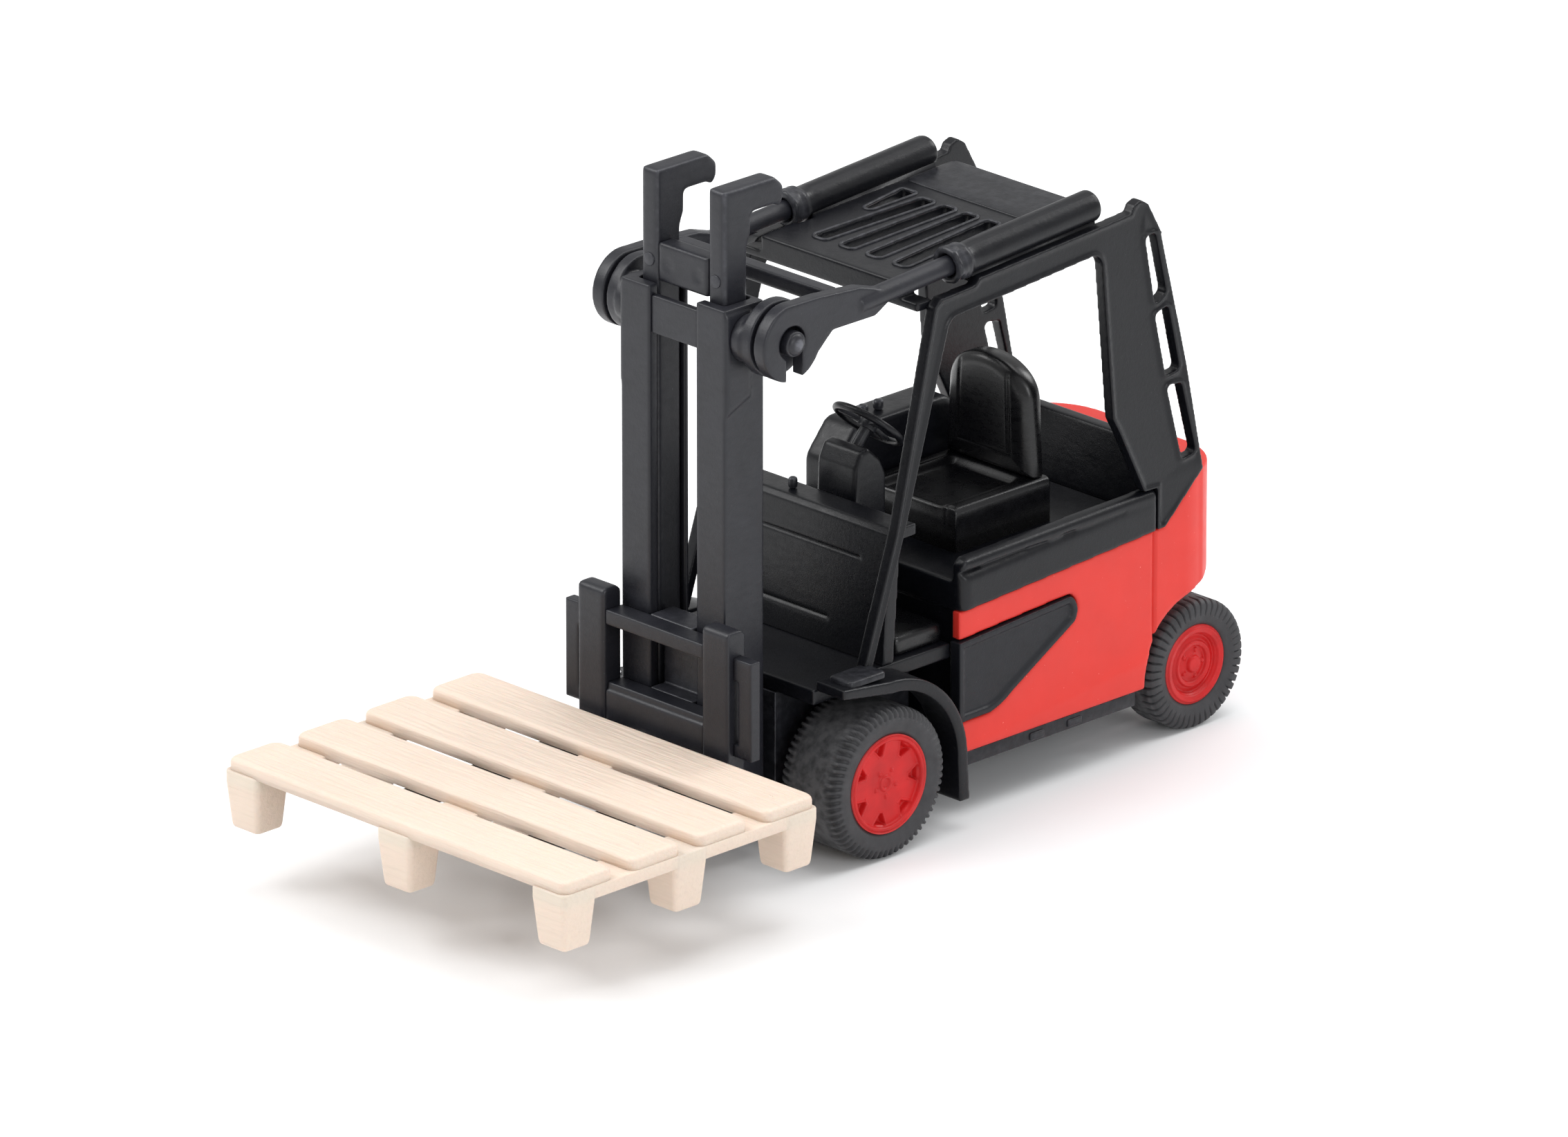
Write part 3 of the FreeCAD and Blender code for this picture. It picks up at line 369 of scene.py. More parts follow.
KEPT_SHARE = 0.36  # of a melted mesh's faces; flat stretches need few
FLAT_WEIGHT = 60  # how firmly large faces set the normals of the points they share
WEAR_AND_HIGHLIGHT_SINK, WEAR_AND_HIGHLIGHT_START = 0.14, 0.25  # melting this deep marks a point fully worn, once past the start; on plastics the mark also paints a highlight


def softened(node, voxel, rounds, material=None, shape=None, carve=None):
    """A CAD node with every edge and corner melted round, as on a plastic moulding, worn where it is convex, and
    on plastics painted with a highlight there.

    carve gives the place that a point of the melted mesh moves to."""
    name = node + "_soft"
    draft = draft_of(mesh_from(shape or cad_copy(node), name + "_draft"))
    remesh = draft.modifiers.new("voxels", "REMESH")
    remesh.mode = "VOXEL"
    remesh.voxel_size = voxel * MM
    crisp = baked(draft)
    melt = draft.modifiers.new("melt", "SMOOTH")
    melt.factor = 0.5
    melt.iterations = rounds
    melted = baked(draft)
    sunk = [(before.co - after.co).dot(after.normal) / (WEAR_AND_HIGHLIGHT_SINK * MM)
            for before, after in zip(crisp.vertices, melted.vertices)]
    store_wear_and_highlight(melted, [min(max(depth - WEAR_AND_HIGHLIGHT_START, 0.0), 1.0) for depth in sunk])
    if carve:
        for vert in melted.vertices:
            vert.co = carve(vert.co / MM) * MM
    melted.shade_smooth()
    draft.modifiers.clear()
    draft.data = melted
    thin = draft.modifiers.new("thin", "DECIMATE")
    thin.ratio = KEPT_SHARE
    flat = draft.modifiers.new("flat", "WEIGHTED_NORMAL")
    flat.weight = FLAT_WEIGHT
    mesh = baked(draft)
    mesh.name = name
    bpy.data.objects.remove(draft)
    add_piece(name, mesh, node, material=material)


def bridge(bm, rings, closed=True):
    """Quads between neighbouring rings of the same length."""
    for first, second in zip(rings, rings[1:]):
        count = len(first)
        for index in range(count if closed else count - 1):
            after = (index + 1) % count
            bm.faces.new((first[index], first[after], second[after], second[index]))


def loft(bm, rings):
    """A closed solid through rings of the same length."""
    bridge(bm, rings)
    bm.faces.new(list(reversed(rings[0])))
    bm.faces.new(rings[-1])


def vertex_ring(bm, points):
    """New vertices at points given in millimetres."""
    return [bm.verts.new(Vector(point) * MM) for point in points]


def add_detail(name, bm, node, wear_and_highlight):
    """A detail on a CAD node; the last argument gives how worn each place on it is, which on plastics also sets a
    painted highlight.
    """
    mesh = mesh_from(bm, name)
    mark_edges(mesh, wear_and_highlight)
    add_piece(name, mesh, node, keep=True)


def angles(steps):
    return [2 * math.pi * step / steps for step in range(steps)]


def quarter(steps):
    """Angles from 0 to a right angle."""
    return [math.pi / 2 * step / steps for step in range(steps + 1)]


def turned(node, profile, steps, shape, name, wear_and_highlight):
    """Turn a profile of (x, radius) about the node's own axis; shape moves each point, and the last argument marks
    how worn it is, which on plastics also sets a painted highlight.
    """
    centre = middle(node)
    side = 1 if centre.x > 0 else -1
    bm = bmesh.new()
    rings = []
    for x, radius in profile:
        ring = []
        for angle in angles(steps):
            px, pr = shape(x, radius, angle)
            ring.append((px * side, centre.y + pr * math.cos(angle), centre.z + pr * math.sin(angle)))
        rings.append(vertex_ring(bm, ring))
    bridge(bm, rings)
    bmesh.ops.remove_doubles(bm, verts=bm.verts, dist=WELD)
    mesh = mesh_from(bm, name)
    mark_edges(mesh, lambda p: wear_and_highlight(math.hypot(p.y - centre.y, p.z - centre.z)))
    add_piece(name, mesh, node)


def reach_of(node):
    """Distances from the truck's middle plane to a wheel part's inner and outer side."""
    return min(abs(low(node).x), abs(high(node).x)), max(abs(low(node).x), abs(high(node).x))


def half_height(node):
    return (high(node).z - low(node).z) / 2


def within_sector(angle, count):
    """The angle from the middle of the sector it lies in, of count sectors round a circle."""
    sector = 2 * math.pi / count
    return (angle + sector / 2) % sector - sector / 2


# ---------------------------------------------------------------- tyres


def tyre_profile(inner, outer, bore, radius, shoulder):
    """From the bead on the inner side, over the tread, to the bead on the outer side, as (x, radius)."""
    wall = radius - bore
    points = [(inner + 0.5, bore - 0.15), (inner + 0.12, bore + 0.05), (inner, bore + wall * 0.4)]
    arc = [(inner + shoulder * (1 - math.cos(a)), radius - shoulder * (1 - math.sin(a))) for a in quarter(6)]
    points += arc
    span = outer - inner - 2 * shoulder
    points += [(inner + shoulder + span * i / 9, radius) for i in range(1, 9)]
    points += [(inner + outer - x, r) for x, r in reversed(arc)]
    points += [(outer, bore + wall * 0.55), (outer - 0.02, bore + wall * 0.4), (outer - 0.1, bore + wall * 0.3),
               (outer - 0.12, bore + wall * 0.18), (outer - 0.3, bore + 0.03), (outer - 0.7, bore - 0.15)]
    return points


def make_tyre(axle, word, shoulder, steps, cuts):
    """A tyre whose tread is cut inwards and sideways by the two depths that cuts gives for each point."""
    node = "%s_tyre_%s" % (axle, word)
    inner, outer = reach_of(node)
    radius = middle(node).z
    bore = half_height(axle + "_rim_left")

    def shape(x, r, angle):
        sign = 1 if x > (inner + outer) / 2 else -1
        cut, side_cut = cuts(r, x, angle, inner, outer, radius)
        return x - sign * side_cut, r - cut

    turned(node, tyre_profile(inner, outer, bore, radius, shoulder), steps, shape, node + "_tread",
           lambda r: smooth_step(radius - 0.14, radius - 0.02, r))


def near_shoulders(x, inner, outer, start, full):
    """1 near the tread's two shoulders, 0 in its middle."""
    return min(smooth_step(outer - start, outer - full, x) + smooth_step(inner + start, inner + full, x), 1.0)


def front_cuts(r, x, angle, inner, outer, radius):
    """Slanting blocks at each shoulder."""
    blocks, depth, slant, crispness = 64, 0.26, 2.6, 3.0
    lean = slant * (x - inner) * (1 if x > (inner + outer) / 2 else -1)
    edge = smooth_step(radius - 0.85, radius - 0.35, r)
    block = 0.5 + 0.5 * math.tanh(crispness * math.cos(blocks * angle + lean))
    cut = depth * edge * near_shoulders(x, inner, outer, 1.2, 0.6) * (1 - block)
    return cut, cut * 0.8 * smooth_step(radius - 0.05, radius - 0.6, r)


def rear_cuts(r, x, angle, inner, outer, radius):
    """Narrow grooves across each shoulder."""
    grooves, depth, side_depth = 46, 0.3, 0.24
    edge = smooth_step(radius - 1.05, radius - 0.75, r)
    groove = smooth_step(0.55, 0.92, math.cos(grooves * angle))
    cut = depth * edge * near_shoulders(x, inner, outer, 1.5, 0.9) * groove
    return cut, side_depth * edge * smooth_step(radius - 0.02, radius - 0.5, r) * groove


# ---------------------------------------------------------------- rims

def make_rim(axle, word, depth, rings, steps, worn):
    """A disc whose outer face lies depth(r, angle) below its rim, with a plain barrel behind."""
    node = "%s_rim_%s" % (axle, word)
    inner, face = reach_of(node)
    radius = half_height(node)
    profile = [(face, radius * i / rings) for i in range(rings + 1)]
    profile += [(face - 0.4, radius), (inner, radius), (inner, radius * 0.6), (inner, 0.0)]

    def shape(x, r, angle):
        return (x - depth(r, angle), r) if x == face else (x, r)

    turned(node, profile, steps, shape, node + "_disc", lambda r: smooth_step(*worn, r))


def front_disc(r, angle):
    """Dished, with rounded triangular recesses, a lip, a centre ring and studs."""
    recesses, tip, base, tip_half, widening = 7, 2.36, 3.2, 0.10, 0.56
    recess_depth, border_height, groove_depth, ring_height = 0.42, 0.07, 0.12, 0.15
    studs, first_stud, stud_height = 5, 0.3, 0.14
    turn = within_sector(angle, recesses)
    across, along = abs(r * math.sin(turn)), r * math.cos(turn)
    half = tip_half + widening * min(max((along - 2.35) / 0.95, 0.0), 1.0)
    outside = max(along - base, across - half, tip - along)
    recess = recess_depth * smooth_step(0.05, -0.14, outside)
    border = border_height * smooth_step(0.02, 0.07, outside) * smooth_step(0.22, 0.13, outside)
    dish = 0.44 - 0.02 * r
    lip = smooth_step(3.3, 3.45, r)
    groove = groove_depth * smooth_step(3.62, 3.68, r) * smooth_step(3.82, 3.74, r)
    ring = ring_height * smooth_step(0.32, 0.42, r) * smooth_step(0.70, 0.58, r)
    stud = stud_height * stud_share(r, within_sector(angle + first_stud, studs), place=1.06, foot=0.23, crown=0.08)
    return (dish + recess - border) * (1 - lip) + groove - ring - stud


def stud_share(r, turn, place, foot, crown):
    """1 on the crown of a stud that stands at a radius of place from the hub's middle, 0 beyond its foot."""
    return smooth_step(foot, crown, math.hypot(r * math.cos(turn) - place, r * math.sin(turn)))


# (radius, depth) of the steps from the hub of a rear wheel to its rim
REAR_STEPS = ((0.0, 0.12), (0.55, 0.12), (0.75, 0.45), (1.35, 0.55), (1.5, 0.3), (1.75, 0.24), (1.85, 0.42),
              (2.25, 0.55), (2.4, 0.3), (2.55, 0.08), (2.9, 0.0), (3.0, 0.1), (3.2, 0.2))


def rear_disc(r, angle):
    """Stepped rings round a blunt hub with studs."""
    studs, stud_height = 5, 0.16
    below = [step for step in REAR_STEPS if step[0] <= r][-1]
    above = [step for step in REAR_STEPS if step[0] > r]
    depth = below[1]
    if above:
        depth += (above[0][1] - below[1]) * smooth_step(below[0], above[0][0], r)
    return depth - stud_height * stud_share(r, within_sector(angle, studs), place=1.08, foot=0.22, crown=0.1)


for word, _ in SIDES:
    make_tyre("front", word, 0.75, 512, front_cuts)
    make_tyre("rear", word, 0.6, 644, rear_cuts)
    make_rim("front", word, front_disc, 72, 420, (3.66, 3.8))
    make_rim("rear", word, rear_disc, 64, 220, (3.0, 3.1))


# ---------------------------------------------------------------- red casting and its insets

def make_casting():
    """Sides that flare out below a soft crease rising towards the rear, with an upright seam near the pillar."""
    bm = cad_copy("body_casting")
    bottom, top = low("body_casting"), high("body_casting")
    crease_front, crease_rise, flare_height, flare, cuts = 7.9, 2.9, 2.6, 0.34, 8
    seam_depth, seam_width, seam_foot, seam_head = 0.45, 0.12, 7.6, 20.4
    slope = crease_rise / (top.y - bottom.y)
    normal = Vector((0, -slope, 1)).normalized()
    for step in range(cuts + 1):
        point = Vector((0, bottom.y, crease_front - flare_height * step / cuts)) * MM
        bmesh.ops.bisect_plane(bm, geom=bm.verts[:] + bm.edges[:] + bm.faces[:], plane_co=point,
                               plane_no=normal, dist=0.001 * MM)
    for vert in bm.verts:
        x, y, z = vert.co / MM
        if abs(x) > top.x - 0.5:
            below = crease_front + slope * (y - bottom.y) - z
            share = min(max(below / flare_height, 0.0), 1.0)
            fade = smooth_step(top.y - 1.0, top.y - 7.0, y)
            vert.co.x -= math.copysign(flare * (1 - share ** 1.7) * fade * MM, x)

    def engraved(place):
        x, y, z = place
        away = abs(y - AXLE_Y - SEAM_Y)
        if abs(x) > top.x - 0.9 and seam_foot < z < seam_head and away < 0.6:
            place.x -= math.copysign(seam_depth * math.exp(-(away / seam_width) ** 2), x)
        return place

    softened("body_casting", 0.14, 7, shape=bm, carve=engraved)


def bordered(node, side, border, slope, depth, voxel, rounds):
    """A CAD node whose outer side is sunk inside a raised border."""
    bm = cad_copy(node, whole=False)
    reach = max(v.co.x * side for v in bm.verts)
    outer = [face for face in bm.faces
             if face.normal.x * side > 0.9 and face.calc_center_median().x * side > reach - 0.1 * MM]
    bmesh.ops.inset_region(bm, faces=outer, thickness=border * MM, depth=0.0, use_even_offset=True)
    bmesh.ops.inset_region(bm, faces=outer, thickness=slope * MM, depth=-depth * MM, use_even_offset=True)
    softened(node, voxel, rounds, shape=bm)


make_casting()
for word, side in SIDES:
    bordered("side_inset_" + word, side, 0.45, 0.16, 0.22, 0.09, 4)
    bordered("guard_frame_" + word, side, 0.26, 0.08, 0.16, 0.1, 12)


# ---------------------------------------------------------------- plain mouldings

# {edge radius: nodes}
EDGE_RADIUS = {
    0.22: ("control_levers", "dash_knob"),
    0.16: ("outer_cross_bottom", "inner_cross_bottom", "guide_shoe", "chassis_base"),
    0.1: ("steering_wheel", "front_axle", "rear_axle", "mast_pivot_pin", "chassis_rivets"),
}
for radius, nodes in EDGE_RADIUS.items():
    for node in nodes:
        moulded(node, radius)

# {(voxel, rounds of melting): nodes}
SOFT_NODES = {
    (0.14, 30): ("inner_rail_left", "inner_rail_right"),
    (0.14, 9): ("rear_ledge", "fork_left", "fork_right", "inner_cross_top"),
    (0.14, 6): ("outer_rail_left", "outer_rail_right", "floor_plate"),
    (0.12, 40): ("control_console",),
    (0.12, 9): ("fender_left", "fender_right"),
    (0.12, 5): ("roof_panel", "front_cowl", "outer_cross_top", "carriage_bar_upper", "carriage_bar_lower",
                "tilt_cross_bar"),
    (0.1, 8): ("carriage_arm_left", "carriage_arm_right"),
    (0.1, 14): ("tilt_lug_left", "tilt_lug_right", "tilt_rod_left", "tilt_rod_right"),
    (0.09, 24): ("steering_column",),
}
for (voxel, rounds), nodes in SOFT_NODES.items():
    for node in nodes:
        softened(node, voxel, rounds)
softened("footwell_step", 0.12, 26, GLOSSY_BLACK)


def make_sill():
    """The tub with the broad rolled edge that runs along the top of its outer walls."""
    bm = cad_copy("cab_tub")
    reach = high("cab_tub").x - 0.3
    steep = 0.8
    rolled = []
    for edge in bm.edges:
        if len(edge.link_faces) != 2:
            continue
        top, wall = sorted(edge.link_faces, key=lambda face: -face.normal.z)
        along_top = top.normal.z > steep and abs(wall.normal.x) > steep
        faces_front = [face.normal.y < -steep for face in (top, wall)]
        front_corner = sum(faces_front) == 1 and abs(top.normal.x) + abs(wall.normal.x) > steep
        if (along_top or front_corner) and all(abs(v.co.x) > reach * MM for v in edge.verts):
            rolled.append(edge)
    bmesh.ops.bevel(bm, geom=rolled, offset=0.75 * MM, segments=4, profile=0.5, affect="EDGES")
    softened("cab_tub", 0.14, 12, shape=bm)


make_sill()


# ---------------------------------------------------------------- seat

def make_seat_base():
    """Box with a sunken field between two side bolsters."""
    node = "seat_cushion"
    bottom, top = low(node), high(node)
    columns, rows, roll, sink = 72, 72, 0.5, 0.5
    seam_place, seam_width, seam_depth = 1.05, 0.09, 0.07
    bm = bmesh.new()

    def surface(x, y):
        side = top.x - abs(x)
        front, back = y - bottom.y, top.y - y
        field = smooth_step(1.15, 2.0, side) * smooth_step(-0.2, 0.9, front) * smooth_step(1.5, 2.4, back)
        seam = math.exp(-((side - seam_place) / seam_width) ** 2) * seam_depth
        return top.z - soft_edge(min(side, front), roll) - sink * field - seam

    def spaced(count, start, stop):
        """Places from start to stop, a little closer together near both ends."""
        return [start + (stop - start) * (0.5 - 0.5 * math.cos(math.pi * i / count)) * 0.35
                + (stop - start) * i / count * 0.65 for i in range(count + 1)]

    grid = [vertex_ring(bm, [(x, y, surface(x, y)) for x in spaced(columns, bottom.x, top.x)])
            for y in spaced(rows, bottom.y, top.y)]
    bridge(bm, grid, closed=False)
    rim = grid[0] + [row[-1] for row in grid[1:]]
    rim += list(reversed(grid[-1][:-1])) + [row[0] for row in reversed(grid[1:-1])]
    foot = [bm.verts.new((v.co.x, v.co.y, bottom.z * MM)) for v in rim]
    bridge(bm, [rim, foot])
    bm.faces.new(foot)
    mesh = mesh_from(bm, "seat_base")
    mark_edges(mesh, lambda p: smooth_step(0.5, 0.1, min(top.x - abs(p.x), p.y - bottom.y)) * 0.6)
    add_piece("seat_base", mesh, node, material=GLOSSY_BLACK)


def make_backrest():
    """Rounded backrest: two upright seams, and sides that fall away behind them."""
    node = "seat_backrest"
    bottom, top = low(node), high(node)
    width, height, depth = top.x, top.z - bottom.z, top.y - bottom.y
    rings, steps, narrowing, roll_width = 44, 144, 0.10, 0.2
    crown_start, crown_span, crown_power = 0.66, 0.34, 2.3
    seam_place, seam_width, seam_depth, flank_depth = 0.6, 0.03, 0.14, 0.42

    def half_width(share):
        taper = 1 - narrowing * share
        crown = math.sqrt(max(1 - max((share - crown_start) / crown_span, 0.0) ** crown_power, 0.0))
        return width * taper * crown

    outline = []
    for index in range(steps + 1):
        share = 1 - (1 - index / steps) ** 1.8
        outline.append((half_width(share), bottom.z + height * share))
    outline += [(-x, z) for x, z in reversed(outline[:-1])]
    centre_z = bottom.z + height * 0.45

    def scaled(scale):
        return [(x * scale, centre_z + (z - centre_z) * scale) for x, z in outline]

    def front(x, z, inward):
        roll = depth * 0.5 * soft_edge(inward / roll_width, 1.0)
        side = abs(x) / (width * (1 - narrowing * (z - bottom.z) / height))
        seam = seam_depth * math.exp(-((side - seam_place) / seam_width) ** 2) * smooth_step(0.04, 0.12, inward)
        flank = flank_depth * smooth_step(0.58, 1.0, side)
        return bottom.y + 0.02 + roll * 0.6 + seam + flank

    bm = bmesh.new()
    back_rings = []
    front_rings = []
    for step in range(rings):
        scale = 1 - (step / rings) ** 1.25
        front_rings.append(vertex_ring(bm, [(x, front(x, z, 1 - scale), z) for x, z in scaled(scale)]))
    for scale in (1.0, 0.97, 0.9, 0.5, 0.1):
        inset = depth * 0.2 * smooth_step(0.93, 1.0, scale)
        back_rings.append(vertex_ring(bm, [(x, top.y - inset, z) for x, z in scaled(scale)]))
    bridge(bm, list(reversed(front_rings)) + back_rings)
    bm.faces.new(front_rings[-1])
    bm.faces.new(back_rings[-1])
    mesh = mesh_from(bm, "seat_back")
    mark_edges(mesh, lambda p: 0.0)
    add_piece("seat_back", mesh, node, material=GLOSSY_BLACK)


make_seat_base()
make_backrest()


# ---------------------------------------------------------------- roof and tilt gear details

def roof_height(y):
    """Top of the roof panel at a distance y along the frame."""
    bottom, top = low("roof_panel"), high("roof_panel")
    front_top = top.z - 1.0
    return front_top + (top.z - front_top) * (y - bottom.y) / (top.y - bottom.y)


def swept_rim(bm, outline, radius, steps=8):
    """A round bead along a closed outline of (x, y) that lies on the roof."""
    count = len(outline)
    rings = []
    for index in range(count):
        before, here, after = outline[index - 1], outline[index], outline[(index + 1) % count]
        run = Vector((after[0] - before[0], after[1] - before[1], 0)).normalized()
        out = Vector((run.y, -run.x, 0))
        centre = Vector((here[0], here[1], roof_height(here[1])))
        rings.append(vertex_ring(bm, [centre + out * radius * math.cos(a) + Vector((0, 0, radius * math.sin(a)))
                                      for a in angles(steps)]))
    rings.append(rings[0])
    bridge(bm, rings)


def slot_outline(near_x, near_y, near_half, far_x, far_y, far_half, corner):
    """A slot with straight sides and rounded ends."""
    points = []
    for x, y, half, start in ((near_x, near_y, near_half, math.pi), (far_x, far_y, far_half, 0.0)):
        sign = 1 if start == 0.0 else -1
        for turn, side in ((0, 1), (1, -1)):
            for step in range(7):
                angle = start + math.pi / 2 * (turn + step / 6)
                points.append((x + sign * side * (half - corner) + corner * math.cos(angle),
                               y - sign * corner + corner * math.sin(angle)))
    return points


def make_roof_details():
    """Beads round the slots and the raised plate behind them."""
    bm = bmesh.new()
    bead_radius, slot_half, slot_corner = 0.15, 0.82, 0.55
    near_y, far_y = SLOT_FRONT_Y + AXLE_Y, SLOT_REAR_Y + AXLE_Y
    for index in range(ROOF_SLOTS):
        near_x = SLOT_PITCH * (index - SLOT_START)
        far_x = near_x * SLOT_FAN + SLOT_DRIFT
        outline = slot_outline(near_x, near_y, slot_half, far_x, far_y, slot_half, slot_corner)
        swept_rim(bm, outline, bead_radius)
    short_slot = slot_outline(near_x=-5.05, near_y=14.6 + AXLE_Y, near_half=0.5,
                              far_x=-5.2, far_y=19.4 + AXLE_Y, far_half=0.84, corner=0.4)
    swept_rim(bm, short_slot, bead_radius)
    add_detail("roof_slot_beads", bm, "roof_panel", lambda p: 0.5)
    bm = bmesh.new()
    front, back, half = 20.6 + AXLE_Y, high("roof_panel").y - 0.15, 7.0
    plate_rings = []
    for lift, inset in ((-0.2, 0.0), (0.04, 0.0), (0.11, 0.05), (0.13, 0.14), (0.13, 1.4)):
        ring = [(x, (front + back) / 2 + y) for x, y in
                rounded_rectangle(half - inset, (back - front) / 2 - inset, 0.5)]
        plate_rings.append(vertex_ring(bm, [(x, y, roof_height(y) + lift) for x, y in ring]))
    bridge(bm, plate_rings)
    bm.faces.new(plate_rings[-1])
    add_detail("roof_rear_plate", bm, "roof_panel", lambda p: 0.2)


def make_pin_cap(word, side):
    """Rounded end of the pin that carries the tilt rod's eye, painted bright in the middle as a glint on its steel
    end.
    """
    node = "tilt_lug_" + word
    reach = reach_of(node)[1]
    pin_radius, crown = 0.86, 0.42
    bm = bmesh.new()
    rings = []
    for angle in quarter(12)[:-1]:
        radius = pin_radius * math.cos(angle)
        x = (reach - 0.1 + crown * math.sin(angle)) * side
        rings.append(vertex_ring(bm, [(x, AXLE_Y + EYE_Y + radius * math.cos(a), EYE_Z + radius * math.sin(a))
                                      for a in angles(40)]))
    bridge(bm, rings)
    bm.faces.new(rings[-1])
    # the high mark in the middle paints a glint there
    add_detail(node + "_pin_cap", bm, node, lambda p: smooth_step(reach + 0.22, reach + 0.31, abs(p.x)) * 2.0)


def rounded_rectangle(half_x, half_y, corner, steps=6):
    """Points round a rectangle with rounded corners, anticlockwise."""
    points = []
    for index, (sx, sy) in enumerate(((1, 1), (-1, 1), (-1, -1), (1, -1))):
        for step in range(steps + 1):
            angle = math.pi / 2 * (index + step / steps)
            points.append((sx * (half_x - corner) + corner * math.cos(angle),
                           sy * (half_y - corner) + corner * math.sin(angle)))
    return points


def tube_profile():
    """(distance along the tube, radius) from inside its bore, over the collar and back to the rear end."""
    collar_length, rounding = 1.5, 0.4
    shoulder = collar_length + rounding
    points = [(3.0, BORE_RADIUS), (0.3, BORE_RADIUS), (0.05, BORE_RADIUS + 0.12), (0.0, BORE_RADIUS + 0.25),
              (0.04, COLLAR_RADIUS - 0.2)]
    points += [(0.12 + (collar_length - 0.2) * i / 7, COLLAR_RADIUS - 0.02 * (i % 3)) for i in range(8)]
    points += [(collar_length + 0.15, TUBE_RADIUS + 0.06), (shoulder, TUBE_RADIUS)]
    points += [(shoulder + (TUBE_LENGTH - collar_length - 1.0) * i / 20, TUBE_RADIUS) for i in range(1, 21)]
    points += [(TUBE_LENGTH - rounding + rounding * math.sin(a), TUBE_RADIUS - rounding + rounding * math.cos(a))
               for a in quarter(6)[1:]]
    return points + [(TUBE_LENGTH, 0.3), (TUBE_LENGTH, 0.0)]


def tube_lump(along, angle, radius, side):
    """How far the moulding stands out or in: a lumpy collar, a mould line and a slight wave."""
    if radius <= 1.0:
        return 0.0
    place = Vector((math.cos(angle) * 1.5, along * 1.1, math.sin(angle) * 1.5 + 9 * side))
    lump = 0.16 * smooth_step(2.6, 0.6, along)
    line = 0.035 * math.exp(-((angle - math.pi * 0.5 + 0.5 * side) / 0.05) ** 2) if radius > 1.2 else 0.0
    return noise.noise(place) * (lump + 0.012) - lump * 0.35 + line


def make_tube(word, side):
    """Tilt cylinder with a lumpy collar and a rounded rear end, and the web that carries it on the roof."""
    node = "tilt_cylinder_" + word
    across = Vector((1, 0, 0))
    axis = Vector((0, math.cos(TUBE_RISE), math.sin(TUBE_RISE)))
    above = Vector((0, -math.sin(TUBE_RISE), math.cos(TUBE_RISE)))
    start = Vector((TUBE_X * side, AXLE_Y + TUBE_Y, TUBE_Z))
    bm = bmesh.new()
    rings = []
    for along, radius in tube_profile():
        ring = []
        for angle in angles(96):
            reach = radius + tube_lump(along, angle, radius, side)
            ring.append(start + axis * along + across * math.cos(angle) * reach + above * math.sin(angle) * reach)
        rings.append(vertex_ring(bm, ring))
    bridge(bm, rings)
    bmesh.ops.remove_doubles(bm, verts=bm.verts, dist=WELD)
    piece = add_piece(node + "_tube", mesh_from(bm, node + "_tube"), node)
    mark_edges(piece.data, lambda p: 0.5 * smooth_step(start.y + 2.2, start.y + 0.6, p.y))

    # its top stays outside the bore, where the rod slides
    section = [(-1.22, -0.5), (-0.8, -0.95), (0.8, -0.95), (0.8, -1.6), (0.65, -1.75), (-1.22, -1.75)]
    bm = bmesh.new()
    loft(bm, [vertex_ring(bm, [start + axis * along + across * side * out + above * rise for out, rise in section])
              for along in (1.9, TUBE_LENGTH * 0.5, TUBE_LENGTH - 0.5)])
    add_detail(node + "_web", bm, node, lambda p: 0.0)


def low_pad(name, node, centre, normal, along, half_long, half_wide, lift, corner):
    """A small raised pad with rounded corners that stands out of a surface along its normal."""
    centre, normal, along = Vector(centre), Vector(normal), Vector(along)
    across = normal.cross(along)
    bm = bmesh.new()
    rings = []
    for out, inset in ((-0.15, 0.0), (lift * 0.55, 0.0), (lift * 0.85, lift * 0.25), (lift, lift * 0.7)):
        inset = min(inset, corner * 0.9)
        outline = rounded_rectangle(half_long - inset, half_wide - inset, corner - inset)
        rings.append(vertex_ring(bm, [centre + along * u + across * v + normal * out for u, v in outline]))
    bridge(bm, rings)
    bm.faces.new(rings[-1])
    add_detail(name, bm, node, lambda p: 0.35)


def make_small_pads():
    """Pads on the mudguards, pegs on the sills and round ejector marks on the inner mast."""
    up, rearward, forward, across = (0, 0, 1), (0, 1, 0), (0, -1, 0), (1, 0, 0)
    for word, side in SIDES:
        fender, rail = "fender_" + word, "inner_rail_" + word
        front, top = low(fender).y, high(fender).z
        low_pad("fender_pad_" + word, fender, (side * (reach_of(fender)[1] - 1.55), front + 2.9, top - 0.08),
                up, rearward, half_long=1.9, half_wide=1.2, lift=0.34, corner=0.4)
        for index, y in enumerate((17.0, 21.0)):
            low_pad("sill_peg_%s_%d" % (word, index), "chassis_base", (side * high("chassis_base").x, y, 4.45),
                    (side, 0, 0), rearward, half_long=0.75, half_wide=0.3, lift=0.14, corner=0.15)
        low_pad("ejector_mark_" + word, rail, (side * 3.5, low(rail).y - 0.02, 45.7),
                forward, across, half_long=0.5, half_wide=0.5, lift=0.07, corner=0.49)


make_roof_details()
make_small_pads()
for word, side in SIDES:
    make_pin_cap(word, side)
    make_tube(word, side)


# ---------------------------------------------------------------- pallet

def divided(outline, spacing):
    """A closed outline of (x, y) with points no farther apart than about a spacing."""
    points = []
    for index, here in enumerate(outline):
        after = outline[(index + 1) % len(outline)]
        parts = max(1, round(math.hypot(after[0] - here[0], after[1] - here[1]) / spacing))
        points += [(here[0] + (after[0] - here[0]) * i / parts, here[1] + (after[1] - here[1]) * i / parts)
                   for i in range(parts)]
    return points


